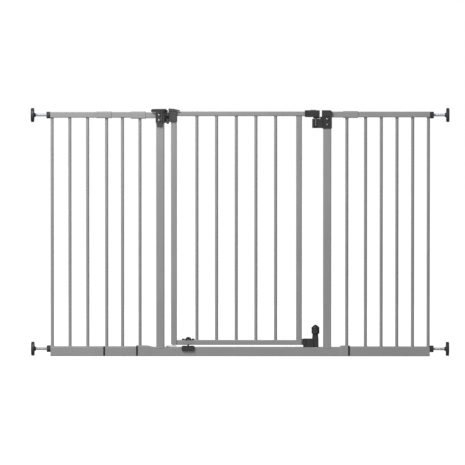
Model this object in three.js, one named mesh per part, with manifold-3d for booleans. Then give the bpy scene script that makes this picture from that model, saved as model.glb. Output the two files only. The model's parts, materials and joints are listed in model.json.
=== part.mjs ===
// Extra-wide walk-through safety gate, pressure-fitted between two walls.
// Millimetres. X runs across the opening, Y through it (front is -Y), Z up.
// The origin is the middle of the gate, on the underside of the base rail.
import * as THREE from "three";
import { mergeVertices } from "three/addons/utils/BufferGeometryUtils.js";
import Module from "manifold-3d";

const wasm = await Module();
wasm.setup();

// ---- Driving dimensions -------------------------------------------------------------------------

const GATE_WIDTH = 1302; // wall to wall, at the rest setting of the spindles
const GATE_HEIGHT = 762; // top of the door's top rail
const GAP = 0.3; // clearance between pieces that touch
const OVERLAP = 0.4; // how far welded or moulded-on stretches sink into each other
const THROUGH = 2; // how far a cutting tool runs past the face it cuts

const BASE_RAIL = { height: 28.2, depth: 25, wall: 1.2, corner: 2.5, left: -265, right: 303 };
const SOCKET = { height: 32.4, depth: 27, leftShoulder: -288, rightShoulder: 309 };
const POST = { width: 25.2, wall: 1.2, corner: 3, leftX: -248.4, rightX: 271.3, leftTop: 760, rightTop: 762 };
const STUB = { height: 18.4, depth: 17.6, wall: 1.1, corner: 2.5 };
const LEFT_STUB = { ...STUB, centreZ: 750.2 };
const RIGHT_STUB = { ...STUB, centreZ: 752.6 };
const TOP_RAIL = { height: 17.8, depth: 18, wall: 1.1, corner: 2.5 };
const LEFT_TOP_RAIL = { ...TOP_RAIL, centreZ: 751.6 };
const RIGHT_TOP_RAIL = { ...TOP_RAIL, centreZ: 752.8 };
const BOTTOM_RAIL = { height: 29.6, depth: 25, wall: 1.2, corner: 2.5, centreZ: 14.8 };
const BAR = { radius: 4.8, bore: 4 };
const FRAME_BAR_LEFT_X = -311.8;
const FRAME_BAR_RIGHT_X = 332.5;

const LEFT_OUTER_BARS = [-585.5, -530.2, -474.8];
const LEFT_INNER_BARS = [-415.6, -366.3];
const RIGHT_BARS = { first: 390.6, last: 586, count: 5 };
const RAIL_END = 590.8; // outer end of the extension rails, from the middle
const SEAM = 5; // width of the black flange between two base tubes
const LEFT_OUTER_SEAM_X = -423.3;
const LEFT_INNER_SEAM_X = -321;
const RIGHT_SEAM_X = 339.6;
const SLEEVE = { length: 46, wall: 1.1, corner: 3.4, leftInnerX: -317, rightX: 343.8 };
const JOINER = { reach: 30, wall: 2, slack: 3.4, corner: 2, halfDepth: 13 };

const DOOR_TOP_RAIL = { height: 14.4, depth: 14.4, wall: 1.1, corner: 2.5 };
const DOOR_BOTTOM_RAIL = { height: 14.8, depth: 14.4, wall: 1.1, corner: 2.5, bottomZ: 35 };
const STILE = { width: 17.8, depth: 18, wall: 1.2, corner: 3, leftX: -206.1, rightX: 183.6 };
const DOOR_BARS = { first: -134.4, last: 110.7, count: 5 };

const HINGE = { x: -225, y: -7, lugRadius: 5, clearRadius: 5.4, barrelRadius: 4.5 };
const HINGE_PIN = { radius: 2.5, headRadius: 3.6 };
const UPPER_EAR = { bottom: 749, top: 757 };
const LOWER_EAR = { bottom: 727, top: 732 };
const DOOR_LIFT = 10;
const BRACKET = { left: -262.6, right: -234.1, halfDepth: 14.6, bottom: 726, top: 761, corner: 3 };
const BRACKET_FACE = { right: -241, front: -19, back: -13.2, corner: 5 };
const BRACKET_TAB = { left: -259, right: -241.4, front: -17.4, back: -13, bottom: 715, top: 730, corner: 2 };
const BRACKET_CAP = { left: -277, right: -234, bottom: 760, halfDepth: 18.5 };
const BRACKET_SPINE = { left: -235, right: -227.4, front: -1.7, back: 13 };
const DOOR_CAP = { left: -223, right: -195.9, bottom: 729, halfDepth: 12.2, corner: 4 };
const DOOR_CAP_WING = { tip: -187.6, end: -190 };

const BUSH = { bore: 3.1, radius: 4, flangeRadius: 5, bottom: 14, holeDepth: 4 };
const PIVOT = { pinRadius: 2.8, pinBottom: 8, eyeRadius: 4.5, neckRadius: 4, plugTop: 60, plugCorner: 2 };
const STRAP = { bottom: 30.2, top: 32.8, right: -199, front: -11, back: 5, corner: 1.5 };

const SPINDLE = { radius: 4.5, inner: 540, clearance: 0.4, topZ: 751, bottomZ: 22.6 };
const CUP = { radius: 22, hubRadius: 6.4, rim: 9, depth: 14, socketDepth: 10.5 };
const NUT = { radius: 10.5, inner: 591.2, outer: 602.8, chamfer: 0.8 };
const PLUG = { inner: 560, outer: 590.6 };

const SCREW = { headRadius: 3.1, headHeight: 2, shankRadius: 1.6, length: 13 };
const CATCH = { left: 254.6, right: 285.8, halfDepth: 15.4, bottom: 709, top: 766 };
const CATCH_BLOCK = { left: 224.5, right: 256, back: 12, bottom: 710.4, top: 739.6, corner: 1.5 };
const CATCH_RISER = { left: 249, halfDepth: 12, top: 746 };
const CATCH_CHANNEL = { side: 1.1, back: 7.4 };
const HINGE_SCREW = { x: -251.5, zs: [750.6, 734], front: BRACKET_FACE.front };
const CATCH_SCREW = { x: 271.2, zs: [738, 721.4], front: -CATCH.halfDepth };

const HANDLE = { left: 201.5, right: 248, bottom: 744.4, top: 766, halfDepth: 13, corner: 2, railEnd: 222.5 };
const TONGUE = { left: 232.4, right: 238.6, front: -15.2, back: 6, bottom: 716 };
const SPIGOT = { front: -8, back: 5, top: 746.7 };
const NECK = { left: 228, bottom: 740.2, halfDepth: 10 };
const SLIDER = { left: 218.3, right: 236.3, halfDepth: 6.2, bottom: 763.6, plateTop: 766.4, top: 768.2 };
const SLIDER_TRAVEL = 8;

const LOCK = { left: 196.6, wall: 206.2, right: 225.6, halfDepth: 12, boxTop: 54.2 };
const CRADLE = { floorTop: 34.2, backFront: 5.8 };
const PILLAR = { right: 244.6, halfDepth: 9.5, top: 67.8, corner: 3 };
const LATCH_BLOCK = { clear: 0.9, front: -11.4, back: 5, bottom: 34.8 };
const LOCK_KNOB = { x: 235, boltRadius: 3, bottom: 34, neck: 68.2, top: 98.2 };
const STOP = { x: -161.5, stemRadius: 2.5, width: 40, corner: 4 };
const STOP_WING = { halfDepth: 6, thickness: 2 };
const STOP_ARM = { halfWidth: 3, front: -15, back: 3, bottom: 30.2, top: 34.4 };
const STOP_PAD = { bottom: 16, top: 33, front: -17.6, back: -13 };

const BAR_SEGMENTS = 12;
const ROUND_SEGMENTS = 16;
const CUP_SEGMENTS = 24;
const CORNER_SEGMENTS = 1;

// ---- Materials ----------------------------------------------------------------------------------

const painted = () => new THREE.MeshStandardMaterial({ color: 0x8f8f90, roughness: 0.45, metalness: 0.35 });
const plastic = () => new THREE.MeshStandardMaterial({ color: 0x2e2e2f, roughness: 0.55, metalness: 0 });
const zinc = () => new THREE.MeshStandardMaterial({ color: 0xb4b8be, roughness: 0.3, metalness: 0.9 });

// ---- Solids -------------------------------------------------------------------------------------

// A closed geometry as a manifold-3d solid.
function solidOf(geometry) {
  const bare = geometry.clone();
  bare.deleteAttribute("normal");
  bare.deleteAttribute("uv");
  const merged = mergeVertices(bare, 1e-3);
  return new wasm.Manifold(
    new wasm.Mesh({
      numProp: 3,
      vertProperties: new Float32Array(merged.attributes.position.array),
      triVerts: new Uint32Array(merged.index.array),
    }),
  );
}

function geometryOf(solid) {
  const mesh = solid.getMesh();
  const indexed = new THREE.BufferGeometry();
  indexed.setAttribute("position", new THREE.BufferAttribute(mesh.vertProperties, 3));
  indexed.setIndex(new THREE.BufferAttribute(mesh.triVerts, 1));
  const geometry = indexed.toNonIndexed();
  geometry.computeVertexNormals();
  return geometry;
}

function join(...geometries) {
  return geometryOf(geometries.map(solidOf).reduce((all, one) => all.add(one)));
}

function cut(geometry, ...tools) {
  return geometryOf(tools.map(solidOf).reduce((left, tool) => left.subtract(tool), solidOf(geometry)));
}

// ---- Outlines -----------------------------------------------------------------------------------

// Rounded rectangle from its edges.
function roundedBox(left, right, low, high, radius) {
  const shape = new THREE.Shape();
  const quarter = Math.PI / 2;
  shape.absarc(right - radius, high - radius, radius, 0, quarter);
  shape.absarc(left + radius, high - radius, radius, quarter, 2 * quarter);
  shape.absarc(left + radius, low + radius, radius, 2 * quarter, 3 * quarter);
  shape.absarc(right - radius, low + radius, radius, 3 * quarter, 4 * quarter);
  shape.closePath();
  return shape;
}

function roundedCentred(u, v, width, height, radius) {
  return roundedBox(u - width / 2, u + width / 2, v - height / 2, v + height / 2, radius);
}

function circle(u, v, radius) {
  const shape = new THREE.Shape();
  shape.absarc(u, v, radius, 0, 2 * Math.PI);
  return shape;
}

function polygon(...points) {
  return new THREE.Shape(points.map(([u, v]) => new THREE.Vector2(u, v)));
}

// ---- Extrusions ---------------------------------------------------------------------------------

function extruded(shape, depth, segments) {
  return new THREE.ExtrudeGeometry(shape, { depth, bevelEnabled: false, curveSegments: segments });
}

const X_AXIS = new THREE.Vector3(1, 0, 0);
const Y_AXIS = new THREE.Vector3(0, 1, 0);
const Z_AXIS = new THREE.Vector3(0, 0, 1);

// Outline in (Y, Z), extruded from one X to another.
function alongX(shape, from, to, segments = CORNER_SEGMENTS) {
  const turn = new THREE.Matrix4().makeBasis(Y_AXIS, Z_AXIS, X_AXIS);
  return extruded(shape, to - from, segments).applyMatrix4(turn).translate(from, 0, 0);
}

// Outline in (X, Z), extruded from one Y to another.
function alongY(shape, from, to, segments = CORNER_SEGMENTS) {
  const turn = new THREE.Matrix4().makeBasis(X_AXIS, Z_AXIS, Y_AXIS.clone().negate());
  return extruded(shape, to - from, segments).applyMatrix4(turn).translate(0, to, 0);
}

// Outline in (X, Y), extruded from one Z to another.
function alongZ(shape, from, to, segments = CORNER_SEGMENTS) {
  return extruded(shape, to - from, segments).translate(0, 0, from);
}

function box(x0, x1, y0, y1, z0, z1) {
  return new THREE.BoxGeometry(x1 - x0, y1 - y0, z1 - z0).translate(
    (x0 + x1) / 2,
    (y0 + y1) / 2,
    (z0 + z1) / 2,
  );
}

function rodZ(x, y, radius, from, to, segments = ROUND_SEGMENTS) {
  return alongZ(circle(x, y, radius), from, to, segments / 2);
}

function rodY(x, z, radius, from, to, segments = ROUND_SEGMENTS) {
  return alongY(circle(x, z, radius), from, to, segments / 2);
}

function rodX(y, z, radius, from, to, segments = ROUND_SEGMENTS) {
  return alongX(circle(y, z, radius), from, to, segments / 2);
}

// A profile of [radius, height] points, turned round the Z axis.
function turned(points, segments = ROUND_SEGMENTS) {
  const profile = points.map(([r, h]) => new THREE.Vector2(r, h));
  return new THREE.LatheGeometry(profile, segments).rotateX(Math.PI / 2);
}

// ---- Tubes --------------------------------------------------------------------------------------

// Rounded rectangular tube outline: the outside with its bore as a hole.
function tubeOutline(u, v, width, height, wall, corner) {
  const shape = roundedCentred(u, v, width, height, corner);
  shape.holes.push(roundedCentred(u, v, width - 2 * wall, height - 2 * wall, corner - wall / 2));
  return shape;
}

// A rail along X, from one X to another, and the solid and bore that it is made of.
function rail(section, from, to) {
  const { centreZ, depth, height, wall, corner } = section;
  return alongX(tubeOutline(0, centreZ, depth, height, wall, corner), from, to);
}

function railSolid(section, from, to) {
  const outline = roundedCentred(0, section.centreZ, section.depth, section.height, section.corner);
  return alongX(outline, from, to);
}

function railBore(section, from, to) {
  const width = section.depth - 2 * section.wall;
  const height = section.height - 2 * section.wall;
  const outline = roundedCentred(0, section.centreZ, width, height, section.corner - section.wall / 2);
  return alongX(outline, from - THROUGH, to + THROUGH);
}

// A square upright tube centred on X.
function upright(x, width, depth, wall, corner, from, to) {
  return alongZ(tubeOutline(x, 0, width, depth, wall, corner), from, to);
}

function roundBar(x, from, to) {
  const ring = circle(x, 0, BAR.radius);
  ring.holes.push(circle(x, 0, BAR.bore));
  return alongZ(ring, from, to, BAR_SEGMENTS / 2);
}

// count values from first to last, evenly spread.
function spread(first, last, count) {
  return Array.from({ length: count }, (_, i) => first + ((last - first) * i) / (count - 1));
}

// ---- The scene graph ----------------------------------------------------------------------------

const gate = new THREE.Group();
const frame = new THREE.Group();
const door = new THREE.Group();
const tension = new THREE.Group();
gate.add(frame, door, tension);

function add(group, name, geometry, material) {
  const mesh = new THREE.Mesh(geometry, material);
  mesh.name = name;
  group.add(mesh);
  return mesh;
}

// ---- Main frame: base rail, posts, stubs and their bars -------------------------------------------

// A swaged tube end on the base rail: level underneath, rising to a taller mouth.
function baseSocket(railEnd, shoulder, mouth) {
  const side = Math.sign(mouth);
  const wall = BASE_RAIL.wall;
  const outline = (inset) =>
    polygon(
      [railEnd, inset],
      [mouth, inset],
      [mouth, SOCKET.height - inset],
      [shoulder, SOCKET.height - inset],
      [railEnd, BASE_RAIL.height - inset],
    );
  const half = SOCKET.depth / 2;
  const outside = alongY(outline(0), -half, half);
  const inside = alongY(outline(wall), -half + wall, half - wall);
  const mouthTool = box(
    Math.min(mouth, mouth + side * THROUGH) - OVERLAP,
    Math.max(mouth, mouth + side * THROUGH) + OVERLAP,
    -half + wall,
    half - wall,
    wall,
    SOCKET.height - wall,
  );
  const railTool = box(
    Math.min(railEnd, railEnd - side * THROUGH) - OVERLAP,
    Math.max(railEnd, railEnd - side * THROUGH) + OVERLAP,
    -half + wall,
    half - wall,
    wall,
    BASE_RAIL.height - wall,
  );
  return cut(outside, inside, mouthTool, railTool);
}

function buildMainFrame() {
  const top = BASE_RAIL.height;
  const bushHole = rodZ(HINGE.x, HINGE.y, BUSH.radius + GAP, top - BUSH.holeDepth, top + THROUGH);
  const baseTube = rail({ ...BASE_RAIL, centreZ: top / 2 }, BASE_RAIL.left, BASE_RAIL.right);
  add(frame, "base_rail", cut(baseTube, bushHole), painted());

  const leftMouth = LEFT_INNER_SEAM_X + SEAM / 2 + GAP;
  const rightMouth = RIGHT_SEAM_X - SEAM / 2 - GAP;
  const leftSocket = baseSocket(BASE_RAIL.left - GAP, SOCKET.leftShoulder, leftMouth);
  const rightSocket = baseSocket(BASE_RAIL.right + GAP, SOCKET.rightShoulder, rightMouth);
  add(frame, "base_socket_left", leftSocket, painted());
  add(frame, "base_socket_right", rightSocket, painted());

  const posts = [
    ["post_left", POST.leftX, POST.leftTop, HINGE_SCREW],
    ["post_right", POST.rightX, POST.rightTop, CATCH_SCREW],
  ];
  for (const [name, x, postTop, screws] of posts) {
    const tube = upright(x, POST.width, POST.width, POST.wall, POST.corner, top + GAP, postTop);
    add(frame, name, cut(tube, ...screwHoles(screws)), painted());
  }

  const half = POST.width / 2 + GAP;
  add(frame, "top_stub_left", rail(LEFT_STUB, LEFT_INNER_SEAM_X, POST.leftX - half), painted());
  add(frame, "top_stub_right", rail(RIGHT_STUB, POST.rightX + half, RIGHT_SEAM_X), painted());

  const bars = [
    ["frame_bar_left", FRAME_BAR_LEFT_X, LEFT_STUB],
    ["frame_bar_right", FRAME_BAR_RIGHT_X, RIGHT_STUB],
  ];
  for (const [name, x, stub] of bars) {
    const sleeveUnderside = stub.centreZ - stub.height / 2 - GAP - SLEEVE.wall;
    add(frame, name, roundBar(x, SOCKET.height + GAP, sleeveUnderside - GAP), painted());
  }
}

// ---- Extension panels -----------------------------------------------------------------------------

// One welded panel: two hollow rails and hollow bars whose bores run into the rails.
function extensionPanel(topRail, from, to, barsAt) {
  const low = BOTTOM_RAIL.height - OVERLAP;
  const high = topRail.centreZ - topRail.height / 2 + OVERLAP;
  const bars = barsAt.map((x) => rodZ(x, 0, BAR.radius, low, high, BAR_SEGMENTS));
  const bores = barsAt.map((x) => rodZ(x, 0, BAR.bore, low - THROUGH, high + THROUGH, BAR_SEGMENTS));
  const outside = join(railSolid(topRail, from, to), railSolid(BOTTOM_RAIL, from, to), ...bars);
  return cut(outside, railBore(topRail, from, to), railBore(BOTTOM_RAIL, from, to), ...bores);
}

// The black piece between two base tubes: a flange at the seam, and a hollow tongue into each tube.
function baseJoiner(seamX, height) {
  const tongueHeight = BASE_RAIL.height - 2 * BASE_RAIL.wall - JOINER.slack;
  const tongueDepth = BASE_RAIL.depth - 2 * BASE_RAIL.wall - JOINER.slack;
  const tongueZ = BASE_RAIL.height / 2;
  const reach = SEAM / 2 + JOINER.reach;
  const outline = roundedCentred(0, tongueZ, tongueDepth, tongueHeight, JOINER.corner);
  const tongue = alongX(outline, seamX - reach, seamX + reach);
  const flangeOutline = roundedBox(-JOINER.halfDepth, JOINER.halfDepth, 0, height, BASE_RAIL.corner);
  const flange = alongX(flangeOutline, seamX - SEAM / 2, seamX + SEAM / 2);
  const boreDepth = tongueDepth - 2 * JOINER.wall;
  const boreHeight = tongueHeight - 2 * JOINER.wall;
  const boreOutline = roundedCentred(0, tongueZ, boreDepth, boreHeight, JOINER.corner / 2);
  const bore = alongX(boreOutline, seamX - reach - THROUGH, seamX + reach + THROUGH);
  return cut(join(tongue, flange), bore);
}

// The raised sleeve over the seam between two top tubes. It is tall enough for the higher and the lower.
function topSleeve(seamX, ...tubes) {
  const low = Math.min(...tubes.map((tube) => tube.centreZ - tube.height / 2));
  const high = Math.max(...tubes.map((tube) => tube.centreZ + tube.height / 2));
  const margin = 2 * (GAP + SLEEVE.wall);
  const depth = TOP_RAIL.depth + margin;
  const height = high - low + margin;
  const outline = tubeOutline(0, (low + high) / 2, depth, height, SLEEVE.wall, SLEEVE.corner);
  return alongX(outline, seamX - SLEEVE.length / 2, seamX + SLEEVE.length / 2);
}

function buildExtensions() {
  const clear = SEAM / 2 + GAP;
  const outerEnd = LEFT_OUTER_SEAM_X - clear;
  const innerStart = LEFT_OUTER_SEAM_X + clear;
  const innerEnd = LEFT_INNER_SEAM_X - clear;
  const rightBars = spread(RIGHT_BARS.first, RIGHT_BARS.last, RIGHT_BARS.count);
  const leftOuter = extensionPanel(LEFT_TOP_RAIL, -RAIL_END, outerEnd, LEFT_OUTER_BARS);
  const leftInner = extensionPanel(LEFT_TOP_RAIL, innerStart, innerEnd, LEFT_INNER_BARS);
  const right = extensionPanel(RIGHT_TOP_RAIL, RIGHT_SEAM_X + clear, RAIL_END, rightBars);
  add(frame, "extension_left_outer", leftOuter, painted());
  add(frame, "extension_left_inner", leftInner, painted());
  add(frame, "extension_right", right, painted());

  add(frame, "base_joiner_left_outer", baseJoiner(LEFT_OUTER_SEAM_X, BOTTOM_RAIL.height), plastic());
  add(frame, "base_joiner_left_inner", baseJoiner(LEFT_INNER_SEAM_X, SOCKET.height), plastic());
  add(frame, "base_joiner_right", baseJoiner(RIGHT_SEAM_X, SOCKET.height), plastic());

  const railLow = LEFT_TOP_RAIL.centreZ - LEFT_TOP_RAIL.height / 2;
  const slotRadius = BAR.radius + GAP;
  const barSlot = rodZ(LEFT_INNER_BARS[0], 0, slotRadius, railLow - SLEEVE.length, railLow + THROUGH);
  const slottedSleeve = cut(topSleeve(LEFT_OUTER_SEAM_X, LEFT_TOP_RAIL), barSlot);
  const innerSleeve = topSleeve(SLEEVE.leftInnerX, LEFT_STUB, LEFT_TOP_RAIL);
  add(frame, "top_sleeve_left_outer", slottedSleeve, painted());
  add(frame, "top_sleeve_left_inner", innerSleeve, painted());
  add(frame, "top_sleeve_right", topSleeve(SLEEVE.rightX, RIGHT_STUB, RIGHT_TOP_RAIL), painted());
}

// ---- Screws ---------------------------------------------------------------------------------------

function screwHoles({ x, zs }) {
  return zs.map((z) => rodY(x, z, SCREW.shankRadius + GAP, -2 * POST.width, 0));
}

function screw(x, z, front) {
  const head = rodY(x, z, SCREW.headRadius, front - GAP - SCREW.headHeight, front - GAP);
  const shank = rodY(x, z, SCREW.shankRadius, front - GAP - OVERLAP, front - GAP + SCREW.length);
  return join(head, shank);
}

function buildScrews() {
  for (const [stem, screws] of [
    ["hinge_screw", HINGE_SCREW],
    ["catch_screw", CATCH_SCREW],
  ])
    screws.zs.forEach((z, i) => {
      add(frame, `${stem}_${i === 0 ? "upper" : "lower"}`, screw(screws.x, z, screws.front), zinc());
    });
}

// ---- Upper hinge ----------------------------------------------------------------------------------

// Room for a post's top end, and for the stub that runs into the post's side.
function postCavity(postX, bottom, postTop) {
  const half = POST.width / 2 + GAP;
  return box(postX - half, postX + half, -half, half, bottom - THROUGH, postTop + GAP);
}

function stubNotch(stub, from, to) {
  const halfDepth = stub.depth / 2 + GAP;
  const halfHeight = stub.height / 2 + GAP;
  return box(from, to, -halfDepth, halfDepth, stub.centreZ - halfHeight, stub.centreZ + halfHeight);
}

// A lug round the hinge axis, webbed back to the sleeve on the post.
function hingeEar(ear) {
  const webLeft = BRACKET.right - THROUGH;
  const web = box(webLeft, HINGE.x, HINGE.y - 2, HINGE.y + HINGE.lugRadius, ear.bottom, ear.top);
  return join(rodZ(HINGE.x, HINGE.y, HINGE.lugRadius, ear.bottom, ear.top), web);
}

// The cap over the hinge post's end, and its tail over the spine.
function bracketCap() {
  const { left, right, bottom, halfDepth } = BRACKET_CAP;
  const plate = polygon(
    [left, bottom + 2],
    [left, bottom + 7],
    [left + 2, bottom + 9.4],
    [right, bottom + 10.4],
    [right, bottom],
    [left + 2, bottom],
  );
  const tail = polygon(
    [right - THROUGH, bottom],
    [right - THROUGH, bottom + 10.3],
    [right + 2, bottom + 10.1],
    [right + 8.6, bottom + 5],
    [right + 8.6, bottom],
  );
  return join(alongY(plate, -halfDepth, halfDepth), alongY(tail, -0.7, halfDepth));
}

// The moulded bracket on the hinge post: a sleeve, a raised front, a cap over the post's end, a spine
// set back behind the pin, and two ears that hold the pin.
function hingeBracket() {
  const { left, right, halfDepth, bottom, top, corner } = BRACKET;
  const face = BRACKET_FACE;
  const tab = BRACKET_TAB;
  const spine = BRACKET_SPINE;
  const body = join(
    alongZ(roundedBox(left, right, -halfDepth, halfDepth, corner), bottom, top),
    alongY(roundedBox(left, face.right, bottom, top, face.corner), face.front, face.back),
    alongY(roundedBox(tab.left, tab.right, tab.bottom, tab.top, tab.corner), tab.front, tab.back),
    bracketCap(),
    box(spine.left, spine.right, spine.front, spine.back, LOWER_EAR.bottom, top),
    hingeEar(UPPER_EAR),
    hingeEar(LOWER_EAR),
  );
  const cavity = postCavity(POST.leftX, tab.bottom, POST.leftTop);
  const notch = stubNotch(LEFT_STUB, left - THROUGH, left + THROUGH);
  const boreRadius = HINGE_PIN.radius + GAP;
  const pinBore = rodZ(HINGE.x, HINGE.y, boreRadius, LOWER_EAR.bottom - THROUGH, UPPER_EAR.top + THROUGH);
  return cut(body, cavity, notch, pinBore, ...screwHoles(HINGE_SCREW));
}

// A headed pin through both ears, with a press-on clip under the lower one.
function hingePin() {
  const { radius, headRadius } = HINGE_PIN;
  const clipTop = LOWER_EAR.bottom - GAP;
  const headBottom = UPPER_EAR.top + GAP;
  const profile = [
    [0, clipTop - 3.3],
    [headRadius, clipTop - 3.3],
    [headRadius, clipTop],
    [radius, clipTop],
    [radius, headBottom],
    [headRadius, headBottom],
    [headRadius, headBottom + 2.1],
    [0, headBottom + 2.1],
  ];
  return turned(profile).translate(HINGE.x, HINGE.y, 0);
}

// The outside of the cap on the door's hinge corner, with a short wing over the top rail.
function doorCapSolid() {
  const { left, right, bottom, halfDepth, corner } = DOOR_CAP;
  const { tip, end } = DOOR_CAP_WING;
  const wingFoot = GATE_HEIGHT + 2 * GAP;
  const front = polygon(
    [left, bottom + 2],
    [left + 2, bottom],
    [right - 2, bottom],
    [right, bottom + 2],
    [right, wingFoot],
    [end, wingFoot],
    [tip, wingFoot + 2],
    [end, wingFoot + 4.6],
    [-205, bottom + 41.4],
    [left + 2, bottom + 42.6],
    [left, bottom + 40.9],
  );
  const plan = roundedBox(left, tip + corner, -halfDepth, halfDepth, corner);
  const tall = alongZ(plan, bottom - THROUGH, bottom + 2 * corner + GATE_HEIGHT);
  return geometryOf(solidOf(alongY(front, -halfDepth, halfDepth)).intersect(solidOf(tall)));
}

// The room inside the door's hinge cap for the stile, which comes from below.
function stileRoom() {
  const half = STILE.width / 2 + GAP;
  const halfDepth = STILE.depth / 2 + GAP;
  const top = GATE_HEIGHT - DOOR_TOP_RAIL.height;
  return box(STILE.leftX - half, STILE.leftX + half, -halfDepth, halfDepth, DOOR_CAP.bottom - THROUGH, top);
}

// The room for the top rail between two positions along it.
function topRailRoom(from, to) {
  const half = DOOR_TOP_RAIL.depth / 2 + GAP;
  return box(from, to, -half, half, GATE_HEIGHT - DOOR_TOP_RAIL.height - GAP, GATE_HEIGHT + GAP);
}

// The cap on the door's hinge corner. It takes the stile from below and the top rail from the side,
// and its barrel runs on the pin between the ears with room to lift.
function doorHingeCap() {
  const { x, y, barrelRadius, clearRadius } = HINGE;
  const barrelBottom = LOWER_EAR.top + GAP;
  const barrelTop = UPPER_EAR.bottom - DOOR_LIFT - GAP;
  const capTop = GATE_HEIGHT + DOOR_CAP.halfDepth;
  const barrel = join(
    rodZ(x, y, barrelRadius, barrelBottom, barrelTop),
    box(x, DOOR_CAP.left + THROUGH, y - 3, y + 3, barrelBottom, barrelTop),
  );
  const earRoomAbove = rodZ(x, y, clearRadius, barrelTop, capTop);
  const earRoomBelow = rodZ(x, y, clearRadius, DOOR_CAP.bottom - THROUGH, barrelBottom);
  const railRoom = topRailRoom(STILE.leftX - STILE.width / 2 - GAP, DOOR_CAP_WING.tip + 2 * THROUGH);
  const shell = cut(doorCapSolid(), earRoomAbove, earRoomBelow, stileRoom(), railRoom);
  const pinBore = rodZ(x, y, HINGE_PIN.radius + GAP, DOOR_CAP.bottom - THROUGH, capTop);
  return cut(join(shell, barrel), pinBore);
}

// ---- Lower hinge ----------------------------------------------------------------------------------

function lowerPivotBush() {
  const { bore, radius, flangeRadius, bottom } = BUSH;
  const flangeBottom = BASE_RAIL.height + 0.1;
  const flangeTop = STRAP.bottom - GAP;
  const profile = [
    [bore, bottom],
    [radius, bottom],
    [radius, flangeBottom],
    [flangeRadius, flangeBottom],
    [flangeRadius, flangeTop],
    [bore, flangeTop],
    [bore, bottom],
  ];
  return turned(profile).translate(HINGE.x, HINGE.y, 0);
}

// The pivot at the foot of the hinge stile: a pin down into the base rail, a flat strap, and a plug up
// into the stile.
function lowerPivotPin() {
  const stileBottom = DOOR_BOTTOM_RAIL.bottomZ;
  const pin = rodZ(HINGE.x, HINGE.y, PIVOT.pinRadius, PIVOT.pinBottom, STRAP.bottom + OVERLAP);
  const eye = rodZ(HINGE.x, HINGE.y, PIVOT.eyeRadius, STRAP.bottom, STRAP.top);
  const strapOutline = roundedBox(HINGE.x, STRAP.right, STRAP.front, STRAP.back, STRAP.corner);
  const strap = alongZ(strapOutline, STRAP.bottom, STRAP.top);
  const neck = rodZ(STILE.leftX, 0, PIVOT.neckRadius, STRAP.top - OVERLAP, stileBottom + 2 * GAP + OVERLAP);
  const plugWidth = STILE.width - 2 * STILE.wall - 2 * GAP;
  const plugOutline = roundedCentred(STILE.leftX, 0, plugWidth, plugWidth, PIVOT.plugCorner);
  const plug = alongZ(plugOutline, stileBottom + 2 * GAP, PIVOT.plugTop);
  return join(pin, eye, strap, neck, plug);
}

// ---- Door -----------------------------------------------------------------------------------------

function buildDoor() {
  const { bottomZ, height } = DOOR_BOTTOM_RAIL;
  const topRail = { ...DOOR_TOP_RAIL, centreZ: GATE_HEIGHT - DOOR_TOP_RAIL.height / 2 };
  const bottomRail = { ...DOOR_BOTTOM_RAIL, centreZ: bottomZ + height / 2 };
  const stileTop = GATE_HEIGHT - topRail.height - GAP;
  const stiles = [
    ["door_stile_left", STILE.leftX],
    ["door_stile_right", STILE.rightX],
  ];
  for (const [name, x] of stiles) {
    const tube = upright(x, STILE.width, STILE.depth, STILE.wall, STILE.corner, bottomZ, stileTop);
    add(door, name, tube, painted());
  }

  const inset = STILE.width / 2 + GAP;
  const bottomTube = rail(bottomRail, STILE.leftX + inset, STILE.rightX - inset);
  const stemRadius = STOP.stemRadius + GAP;
  const stemHole = rodZ(STOP.x, 0, stemRadius, bottomZ - THROUGH, bottomZ + height + THROUGH);
  add(door, "door_top_rail", rail(topRail, STILE.leftX - STILE.width / 2, HANDLE.railEnd), painted());
  add(door, "door_bottom_rail", cut(bottomTube, stemHole), painted());

  spread(DOOR_BARS.first, DOOR_BARS.last, DOOR_BARS.count).forEach((x, i) => {
    add(door, `door_bar_${i + 1}`, roundBar(x, bottomZ + height + GAP, stileTop), painted());
  });

  add(door, "door_hinge_cap", doorHingeCap(), plastic());
  add(door, "lower_pivot_pin", lowerPivotPin(), zinc());
  add(door, "door_stop", doorStop(), plastic());
}

// The door stop: a dome and two wings on the bottom rail, a stem through it, and a pad that overlaps
// the front of the base rail, so that the door opens to the front only.
function doorStop() {
  const { x, stemRadius, width, corner } = STOP;
  const railTop = DOOR_BOTTOM_RAIL.bottomZ + DOOR_BOTTOM_RAIL.height + GAP;
  const dome = turned([
    [0, railTop],
    [8.8, railTop],
    [8.4, railTop + 3],
    [6.6, railTop + 6],
    [3.6, railTop + 8.2],
    [0, railTop + 9],
  ]).translate(x, 0, 0);
  const left = x - width / 2;
  const right = x + width / 2;
  const wingOutline = roundedBox(left, right, -STOP_WING.halfDepth, STOP_WING.halfDepth, corner);
  const arm = STOP_ARM;
  const pad = STOP_PAD;
  return join(
    dome,
    alongZ(wingOutline, railTop, railTop + STOP_WING.thickness),
    rodZ(x, 0, stemRadius, arm.top - THROUGH, railTop + OVERLAP),
    box(x - arm.halfWidth, x + arm.halfWidth, arm.front, arm.back, arm.bottom, arm.top),
    alongY(roundedBox(left, right, pad.bottom, pad.top, corner), pad.front, pad.back),
  );
}

// ---- Latch ----------------------------------------------------------------------------------------

// A box for the piece or pocket that fits the tongue, wider by the given margin.
function tongueBox(margin, front, back, bottom, top) {
  return box(TONGUE.left - margin, TONGUE.right + margin, front - margin, back + margin, bottom, top);
}

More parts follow.
